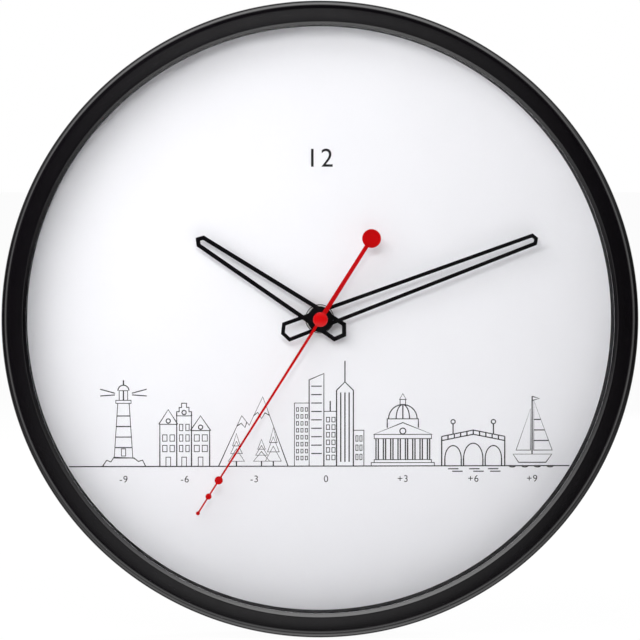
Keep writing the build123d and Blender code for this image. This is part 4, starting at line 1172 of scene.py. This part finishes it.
@dataclass
class Dial:
    """The white dial sheet with its printed line skyline, and the washer at its centre."""

    ground: float = -70.0
    rim_width: float = 11.6
    ground_gap: float = 0.6
    stroke: float = 0.6
    ink_thickness: float = 0.03
    label_height: float = 3.2
    label_drop: float = 7.6
    numeral_height: float = 8.6
    numeral_rise: float = 72.0
    bushing_radius: float = 4.0
    hole_gap: float = 0.2
    washer_edge: float = 0.15
    text_cap_share: float = 0.69
    letter_spacing: float = 1.12

    def sheet(self) -> None:
        """Makes and dresses the dial sheet and the washer."""
        bore = self.bushing_radius + self.hole_gap
        outer = radius_of("dial")
        back, front = depths_of("dial")
        sheet = turned("dial_sheet", ((bore, back), (outer, back), (outer, front), (bore, front)))
        finish_piece(sheet, DIAL_ENAMEL, "clock_case", "white_dial_sheet", "dial")

        outer = radius_of("dial_washer")
        back, front = depths_of("dial_washer")
        washer = turned(
            "hub_washer",
            rounded(
                (
                    (bore, back, 0.0),
                    (outer, back, 0.0),
                    (outer, front, self.washer_edge),
                    (bore, front, self.washer_edge),
                ),
                steps=TINY_CORNER_STEPS,
            ),
        )
        # The washer's finish paints shade as a thin dark band round its edge.
        finish_piece(washer, WASHER_WITH_PAINTED_SHADE, "clock_case", "zinc_steel", "dial_washer")

    def label(self, text: str, x: float, z: float, cap_height: float) -> Piece:
        """Prints one centred label.

        Args:
            text: plain digits with or without a sign.
            x: its middle, from the arbor.
            z: its base line, over the arbor.
            cap_height: height of its figures, in millimetres.

        Returns:
            The mesh object.
        """
        deselect()
        bpy.ops.object.text_add(location=place(x, z, 0.0), rotation=(math.pi / 2, 0.0, 0.0))
        words = bpy.context.object
        words.name = f"label_{text.replace('+', 'plus_').replace('-', 'minus_')}"
        words.data.body = text
        words.data.align_x = "CENTER"
        words.data.size = cap_height / self.text_cap_share * MM
        words.data.extrude = self.stroke / 2 * MM
        words.data.space_character = self.letter_spacing
        return flattened(words, self.stroke, front_of("dial"), self.ink_thickness)

    def build(self) -> None:
        """Makes the sheet, the washer, the skyline and its labels."""
        self.sheet()
        pen = Skyline(self.ground)
        reach = math.sqrt((radius_of("rim") - self.rim_width) ** 2 - self.ground**2) - self.ground_gap
        pen.line((-reach, 0.0), (reach, 0.0))
        drawn = (
            (pen.lighthouse, -93.0, "-9"),
            (pen.houses, -64.0, "-6"),
            (pen.pines, -31.0, "-3"),
            (pen.towers, 3.0, "0"),
            (pen.hall, 39.5, "+3"),
            (pen.bridge, 73.0, "+6"),
            (pen.boat, 101.0, "+9"),
        )
        for motif, x, _ in drawn:
            pen.middle = x
            motif()
        skyline = pen.lay("skyline_print", self.stroke, front_of("dial"), self.ink_thickness)
        labels = [
            self.label(text, x, self.ground - self.label_drop, self.label_height) for _, x, text in drawn
        ]
        labels.append(self.label("12", 0.0, self.numeral_rise, self.numeral_height))
        activate(skyline)
        for words in labels:
            words.select_set(True)
        bpy.ops.object.join()
        finish_piece(skyline, GREY_INK, "clock_case", "white_dial_sheet")


def turned_points(angle: float, points: Sequence[Point]) -> list[Point]:
    """Turns points that are drawn for twelve o'clock to a hand's angle.

    Args:
        angle: degrees clockwise from the top.
        points: distance along the hand and to its side, in millimetres.

    Returns:
        Places to the right of the arbor and above it.
    """
    turn = math.radians(angle)
    sine, cosine = math.sin(turn), math.cos(turn)
    return [(u * sine + v * cosine, u * cosine + v * -sine) for u, v in points]


@dataclass
class OutlineHand:
    """A hand that is only an outline: two bars, pointed at both ends, round a solid disc."""

    name: str
    node: str
    body: str
    angle: float
    tip: float
    shoulder: float
    shoulder_half: float
    tail: float
    tail_half: float
    tail_tip: float
    bar: float
    bore: float
    disc_radius: float = 6.1
    edge: float = 0.14
    inlay: float = 0.02

    def build(self) -> None:
        """Makes and dresses the hand."""
        outline = (
            (self.tip, 0.0),
            (self.shoulder, self.shoulder_half),
            (-self.tail, self.tail_half),
            (-self.tail_tip, 0.0),
            (-self.tail, -self.tail_half),
            (self.shoulder, -self.shoulder_half),
        )
        corners = turned_points(self.angle, outline)
        back, front = depths_of(self.node)
        hand = traced(self.name, [place(x, z, back) for x, z in corners])
        with editing(hand):
            select_whole()
            bpy.ops.mesh.edge_face_add()
            bpy.ops.mesh.inset(thickness=self.bar * MM, use_even_offset=True)
            bpy.ops.mesh.delete(type="ONLY_FACE")
            select_whole()
            thicken(front - back)
        low, high = back + self.inlay, front - self.inlay
        ring = ((self.bore, low), (self.disc_radius, low), (self.disc_radius, high), (self.bore, high))
        disc = turned("hub_disc", ring, steps=SMALL_TURN_STEPS)
        cut_or_join(hand, disc, "UNION")
        soften(hand, self.edge)
        finish_piece(hand, BLACK_LACQUER, self.body, "black_hand_lacquer", self.node)


OUTLINE_HANDS = (
    OutlineHand(
        name="hour_outline", node="hour_hand", body="hour_train", angle=303.2,
        tip=70.3, shoulder=67.6, shoulder_half=3.1,
        tail=11.4, tail_half=5.2, tail_tip=14.8, bar=2.0, bore=3.32,
    ),
    OutlineHand(
        name="minute_outline", node="minute_hand", body="minute_train", angle=69.55,
        tip=110.0, shoulder=108.3, shoulder_half=2.9,
        tail=17.4, tail_half=4.8, tail_tip=19.8, bar=1.8, bore=2.32,
    ),
)


@dataclass
class SecondHand:
    """The red second hand: a tapered pointer with three dots, a round counterweight and the cap."""

    angle: float = 212.3
    pointer_root_half: float = 0.7
    pointer_end_half: float = 0.375
    dots: tuple[Point, ...] = ((89.8, 1.95), (98.8, 1.45), (108.2, 0.95))
    tail_root_half: float = 1.1
    tail_end_half: float = 0.95
    counterweight: Point = (45.2, 4.45)
    hub_radius: float = 3.0
    bore: float = 0.92
    edge: float = 0.1
    inlay: float = 0.02
    cap_edge: float = 0.5
    cap_crown: float = 0.12
    pocket_gap: float = 0.05

    def build(self) -> None:
        """Makes and dresses the hand and its cap."""
        back, front = depths_of("second_hand")
        reach = self.dots[-1][0]
        weight, weight_radius = self.counterweight
        outline = (
            (reach, self.pointer_end_half),
            (0.0, self.pointer_root_half),
            (0.0, self.tail_root_half),
            (-weight, self.tail_end_half),
            (-weight, -self.tail_end_half),
            (0.0, -self.tail_root_half),
            (0.0, -self.pointer_root_half),
            (reach, -self.pointer_end_half),
        )
        corners = turned_points(self.angle, outline)
        hand = slab("second_pointer", corners, back + self.inlay, front - self.inlay)
        rounds = [*self.dots, (-weight, weight_radius), (0.0, self.hub_radius)]
        centres = turned_points(self.angle, [(distance, 0.0) for distance, _ in rounds])
        for (_, radius), centre in zip(rounds, centres):
            cut_or_join(hand, solid_disc("dot", radius, back, front, centre=centre), "UNION")
        over = self.edge
        bore = solid_disc("bore", self.bore, back - over, front + over, steps=SCREW_STEPS)
        cut_or_join(hand, bore, "DIFFERENCE")
        soften(hand, self.edge)
        finish_piece(hand, RED_LACQUER, "second_train", "red_hand_lacquer", "second_hand")

        radius = radius_of("second_hand_cap")
        back, front = depths_of("second_hand_cap")
        pocket = front_of("second_hand_tube") + self.pocket_gap
        cap = turned(
            "hub_cap",
            rounded(
                (
                    (0.0, front, 0.0),
                    (radius / 2, front, 0.0),
                    (radius, front - self.cap_crown, self.cap_edge),
                    (radius, back, 0.0),
                    (self.bore, back, 0.0),
                    (self.bore, pocket, 0.0),
                    (0.0, pocket, 0.0),
                ),
                loop=False,
            ),
            steps=SMALL_TURN_STEPS * 2,
            closed=False,
        )
        finish_piece(cap, RED_STYRENE, "second_train", "red_cap_plastic", "second_hand_cap")


@dataclass
class Back:
    """What is seen from behind: back plate, bracket, screws, the movement and its battery."""

    plate_edge: float = 0.3
    small_edge: float = 0.15
    fine_edge: float = 0.08
    cell_edge: float = 0.05
    nut_edge: float = 0.1
    clean_angle: float = 1.0
    sharp_angle: float = 50.0

    def copy_of(self, node: str, name: str, edge: float) -> Piece:
        """Copies a CAD node, merges its loose triangles and rounds its sharp edges.

        Args:
            node: the CAD node.
            name: name of the copy.
            edge: width of the rounding, in millimetres.

        Returns:
            The new object, at the origin.
        """
        piece = bpy.data.objects.new(name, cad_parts[node].data.copy())
        piece.data.materials.clear()
        bpy.context.scene.collection.objects.link(piece)
        with editing(piece):
            bpy.ops.mesh.customdata_custom_splitnormals_clear()
            select_whole()
            bpy.ops.mesh.remove_doubles(threshold=MERGE)
            bpy.ops.mesh.dissolve_limited(angle_limit=math.radians(self.clean_angle))
        soften(piece, edge, angle=self.sharp_angle)
        return piece

    def build(self) -> None:
        """Makes and dresses every piece that is seen from behind."""
        pieces = (
            ("back_plate", "back_panel", self.plate_edge, GRAINED_STYRENE, "black_back_plastic"),
            ("hanger_bracket", "hanging_strap", self.small_edge, ZINC_STEEL, "zinc_steel"),
            ("rim_screws", "rim_pan_screws", self.small_edge, ZINC_STEEL, "zinc_steel"),
            ("hanger_screws", "strap_pan_screws", self.small_edge, ZINC_STEEL, "zinc_steel"),
            ("movement_case", "movement_housing", self.small_edge, MOVEMENT_ABS, "movement_plastic"),
            ("movement_cover", "movement_lid", self.small_edge, MOVEMENT_ABS, "movement_plastic"),
            ("cover_screws", "lid_pan_screws", self.fine_edge, ZINC_STEEL, "zinc_steel"),
            ("setting_knob", "time_setting_knob", self.fine_edge, GREY_ACETAL, "knob_plastic"),
            ("battery_cell", "battery_body", self.cell_edge, SHRINK_SLEEVE, "battery_sleeve"),
            ("fixing_nut", "hub_nut", self.nut_edge, TURNED_BRASS, "brass"),
        )
        moving = {"setting_knob": "setting_knob", "battery_cell": "battery"}
        for node, name, edge, finish, slot in pieces:
            piece = self.copy_of(node, name, edge)
            finish_piece(piece, finish, moving.get(node, "clock_case"), slot, node)
        for node, finish in NODE_FINISHES.items():
            finish.dress(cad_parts[node])
            log.info("%s keeps its CAD mesh in %s", node, finish.name)


class Lamp(Enum):
    """The studio's soft boxes: place in metres from the hub, size and power."""

    ABOVE = ((-0.061, -0.712, 0.276), 0.16, 2.0)
    LOWER_LEFT = ((-1.66, -1.75, -0.65), 0.42, 14.0)
    UPPER_LEFT = ((-0.35, -0.35, 0.3), 0.6, 3.65)
    BEHIND = ((0.7, 1.3, 0.6), 0.9, 42.0)


@dataclass
class Studio:
    """Floor, world, soft boxes and the camera at the photograph's place.

    The lens, the sensor and the point that the camera aims at are in millimetres.
    """

    lens: float = 239.5
    distance: float = 2.0
    camera_left: float = 0.063
    camera_above: float = 0.074
    sensor: float = 36.0
    silhouette_depth: float = 37.0
    aim_left: float = 0.35
    floor_size: float = 60.0
    floor_tint: str = "ffffff"
    floor_glow: float = 0.97
    ambient: float = 0.04
    dark_front: float = 0.02
    fan_boxes: float = 0.8
    fan_power: float = 1.6
    boxes_from: Pair = (-0.6, -0.15)
    boxes_to: Pair = (0.15, 0.45)
    fan_from: Pair = (-0.9954, -0.9877)
    fan_to: Pair = (-0.968, -0.94)
    rear_span: Pair = (0.1, 0.5)
    back_span: Pair = (0.6, 0.9)
    ceiling_boxes: float = 3.0
    floor_boxes: float = 2.4
    ring_lean: Triple = (0.105, 1.0, -0.3)
    ring_place: float = -0.503
    ring_width: float = 0.3
    ring_boxes: float = 2.3
    behind: float = 0.06
    back_boxes: float = 0.9

    def floor(self) -> None:
        """Lays the pale floor under the clock; it shows white and keeps a faint shadow."""
        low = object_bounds()[0]
        deselect()
        bpy.ops.mesh.primitive_plane_add(size=self.floor_size, location=(0.0, 0.0, low.z))
        floor = bpy.context.object
        floor.name = "studio_floor"
        material = bpy.data.materials.new("studio_white_vinyl")
        tree = emptied_tree(material)
        matt = add_node(tree, "ShaderNodeBsdfDiffuse", inputs={"Color": linear(self.floor_tint)})
        glow = add_node(tree, "ShaderNodeEmission", inputs={"Color": linear(self.floor_tint)})
        path = add_node(tree, "ShaderNodeLightPath")
        values = {"camera": path.outputs["Is Camera Ray"], "pane": path.outputs["Is Transmission Ray"]}
        add_steps(
            tree,
            values,
            ("seen", "MAXIMUM", "camera", "pane"),
            ("share", "MULTIPLY", "seen", self.floor_glow),
        )
        lit = add_node(
            tree,
            "ShaderNodeMixShader",
            links={0: values["share"], 1: matt.outputs["BSDF"], 2: glow.outputs["Emission"]},
        )
        through = add_node(tree, "ShaderNodeBsdfTransparent")
        blend = add_node(
            tree,
            "ShaderNodeMixShader",
            links={0: path.outputs["Is Glossy Ray"], 1: lit.outputs["Shader"], 2: through.outputs["BSDF"]},
        )
        add_node(tree, "ShaderNodeOutputMaterial", links={"Surface": blend.outputs["Shader"]})
        floor.data.materials.append(material)
        floor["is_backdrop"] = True

    def world_steps(self) -> tuple[tuple[str | float, ...], ...]:
        """The brightness that reflections see in each direction, and whether a ray sees the world bare.

        Returns:
            The rows of steps, from the parts of the direction.
        """
        return (
            ("bare", "MAXIMUM", "camera", "pane"),
            ("steep", "MULTIPLY", "z", "z"),
            ("upward", "GREATER_THAN", "z", 0.0),
            ("boxes", "MULTIPLY_ADD", "upward", self.ceiling_boxes - self.floor_boxes, self.floor_boxes),
            ("poles", "MULTIPLY", "steep", "boxes"),
            ("opened", "SOFT_RANGE", "y", *self.boxes_from, 0.0, 1.0),
            ("closed", "SOFT_RANGE", "y", *self.boxes_to, 1.0, 0.0),
            ("window", "MULTIPLY", "opened", "closed"),
            ("off_ring", "SUBTRACT", "lean", self.ring_place),
            ("from_ring", "ABSOLUTE", "off_ring"),
            ("ring", "SOFT_RANGE", "from_ring", self.ring_width, 0.0, 0.0, self.ring_boxes),
            ("wide", "MULTIPLY", "x", "x"),
            ("around", "ADD", "steep", "wide"),
            ("upright", "DIVIDE", "steep", "around"),
            ("fan", "POWER", "upright", self.fan_power),
            ("fan_rise", "SOFT_RANGE", "y", *self.fan_from, 0.0, self.fan_boxes),
            ("fan_fall", "SOFT_RANGE", "y", *self.fan_to, 1.0, 0.0),
            ("fan_span", "MULTIPLY", "fan_rise", "fan_fall"),
            ("near", "MULTIPLY_ADD", "fan", "fan_span", "ring"),
            ("front", "MULTIPLY_ADD", "poles", "window", "near"),
            ("rear", "SOFT_RANGE", "y", *self.rear_span, self.dark_front, self.behind),
            ("back", "SOFT_RANGE", "y", *self.back_span, 0.0, self.back_boxes),
            ("beyond", "ADD", "rear", "back"),
            ("total", "ADD", "front", "beyond"),
        )

    def world(self) -> None:
        """Sets the world: white to the camera, faint to matt skins, a dim studio with strips to mirrors."""
        world = bpy.data.worlds.new("studio")
        bpy.context.scene.world = world
        tree = emptied_tree(world)
        way = add_node(tree, "ShaderNodeTexCoord").outputs["Generated"]
        parts = add_node(tree, "ShaderNodeSeparateXYZ", links={"Vector": way})
        lean = add_node(
            tree, "ShaderNodeVectorMath", operation="DOT_PRODUCT", inputs={1: self.ring_lean}, links={0: way}
        )
        path = add_node(tree, "ShaderNodeLightPath")
        values = {
            "x": parts.outputs["X"],
            "y": parts.outputs["Y"],
            "z": parts.outputs["Z"],
            "lean": lean.outputs["Value"],
            "camera": path.outputs["Is Camera Ray"],
            "pane": path.outputs["Is Transmission Ray"],
        }
        add_steps(tree, values, *self.world_steps())
        studio = add_node(tree, "ShaderNodeBackground", links={"Strength": values["total"]})
        white = add_node(tree, "ShaderNodeBackground", inputs={"Strength": 1.0})
        ambient = add_node(tree, "ShaderNodeBackground", inputs={"Strength": self.ambient})
        for background in (studio, white, ambient):
            background.inputs["Color"].default_value = linear("ffffff")
        mirrored = add_node(
            tree,
            "ShaderNodeMixShader",
            links={0: path.outputs["Is Glossy Ray"], 1: ambient.outputs[0], 2: studio.outputs[0]},
        )
        shown = add_node(
            tree,
            "ShaderNodeMixShader",
            links={0: values["bare"], 1: mirrored.outputs[0], 2: white.outputs[0]},
        )
        add_node(tree, "ShaderNodeOutputWorld", links={"Surface": shown.outputs[0]})

    def lamps(self) -> None:
        """Hangs the soft boxes and points them at the dial."""
        target = place(0.0, 0.0, front_of("dial"))
        for lamp in Lamp:
            offset, size, power = lamp.value
            light = bpy.data.lights.new(f"softbox_{lamp.name.lower()}", "AREA")
            light.size = size
            light.energy = power
            holder = bpy.data.objects.new(light.name, light)
            bpy.context.scene.collection.objects.link(holder)
            holder.location = target + Vector(offset)
            holder.rotation_euler = (target - holder.location).to_track_quat("-Z", "Y").to_euler()
            holder.visible_glossy = False
            holder.visible_camera = False

    def camera(self) -> None:
        """Stands the camera where the photograph was taken from, a little left of and above the axis."""
        target = place(-self.aim_left, 0.0, self.silhouette_depth)
        camera = bpy.data.cameras.new("photo_camera")
        camera.sensor_width = self.sensor
        camera.lens = self.lens
        holder = bpy.data.objects.new("photo_camera", camera)
        bpy.context.scene.collection.objects.link(holder)
        holder.location = target + Vector((-self.camera_left, -self.distance, self.camera_above))
        holder.rotation_euler = (target - holder.location).to_track_quat("-Z", "Y").to_euler()
        bpy.context.scene.camera = holder

    def build(self) -> None:
        """Makes the whole studio."""
        self.floor()
        self.world()
        self.lamps()
        self.camera()
        bpy.context.scene.view_settings.view_transform = "Standard"


def main() -> None:
    """Builds the clock from the rim inwards, then what is behind it, then the studio."""
    Rim().build()
    Dial().build()
    for hand in OUTLINE_HANDS:
        hand.build()
    SecondHand().build()
    Back().build()
    Studio().build()


if __name__ == "__main__":
    main()
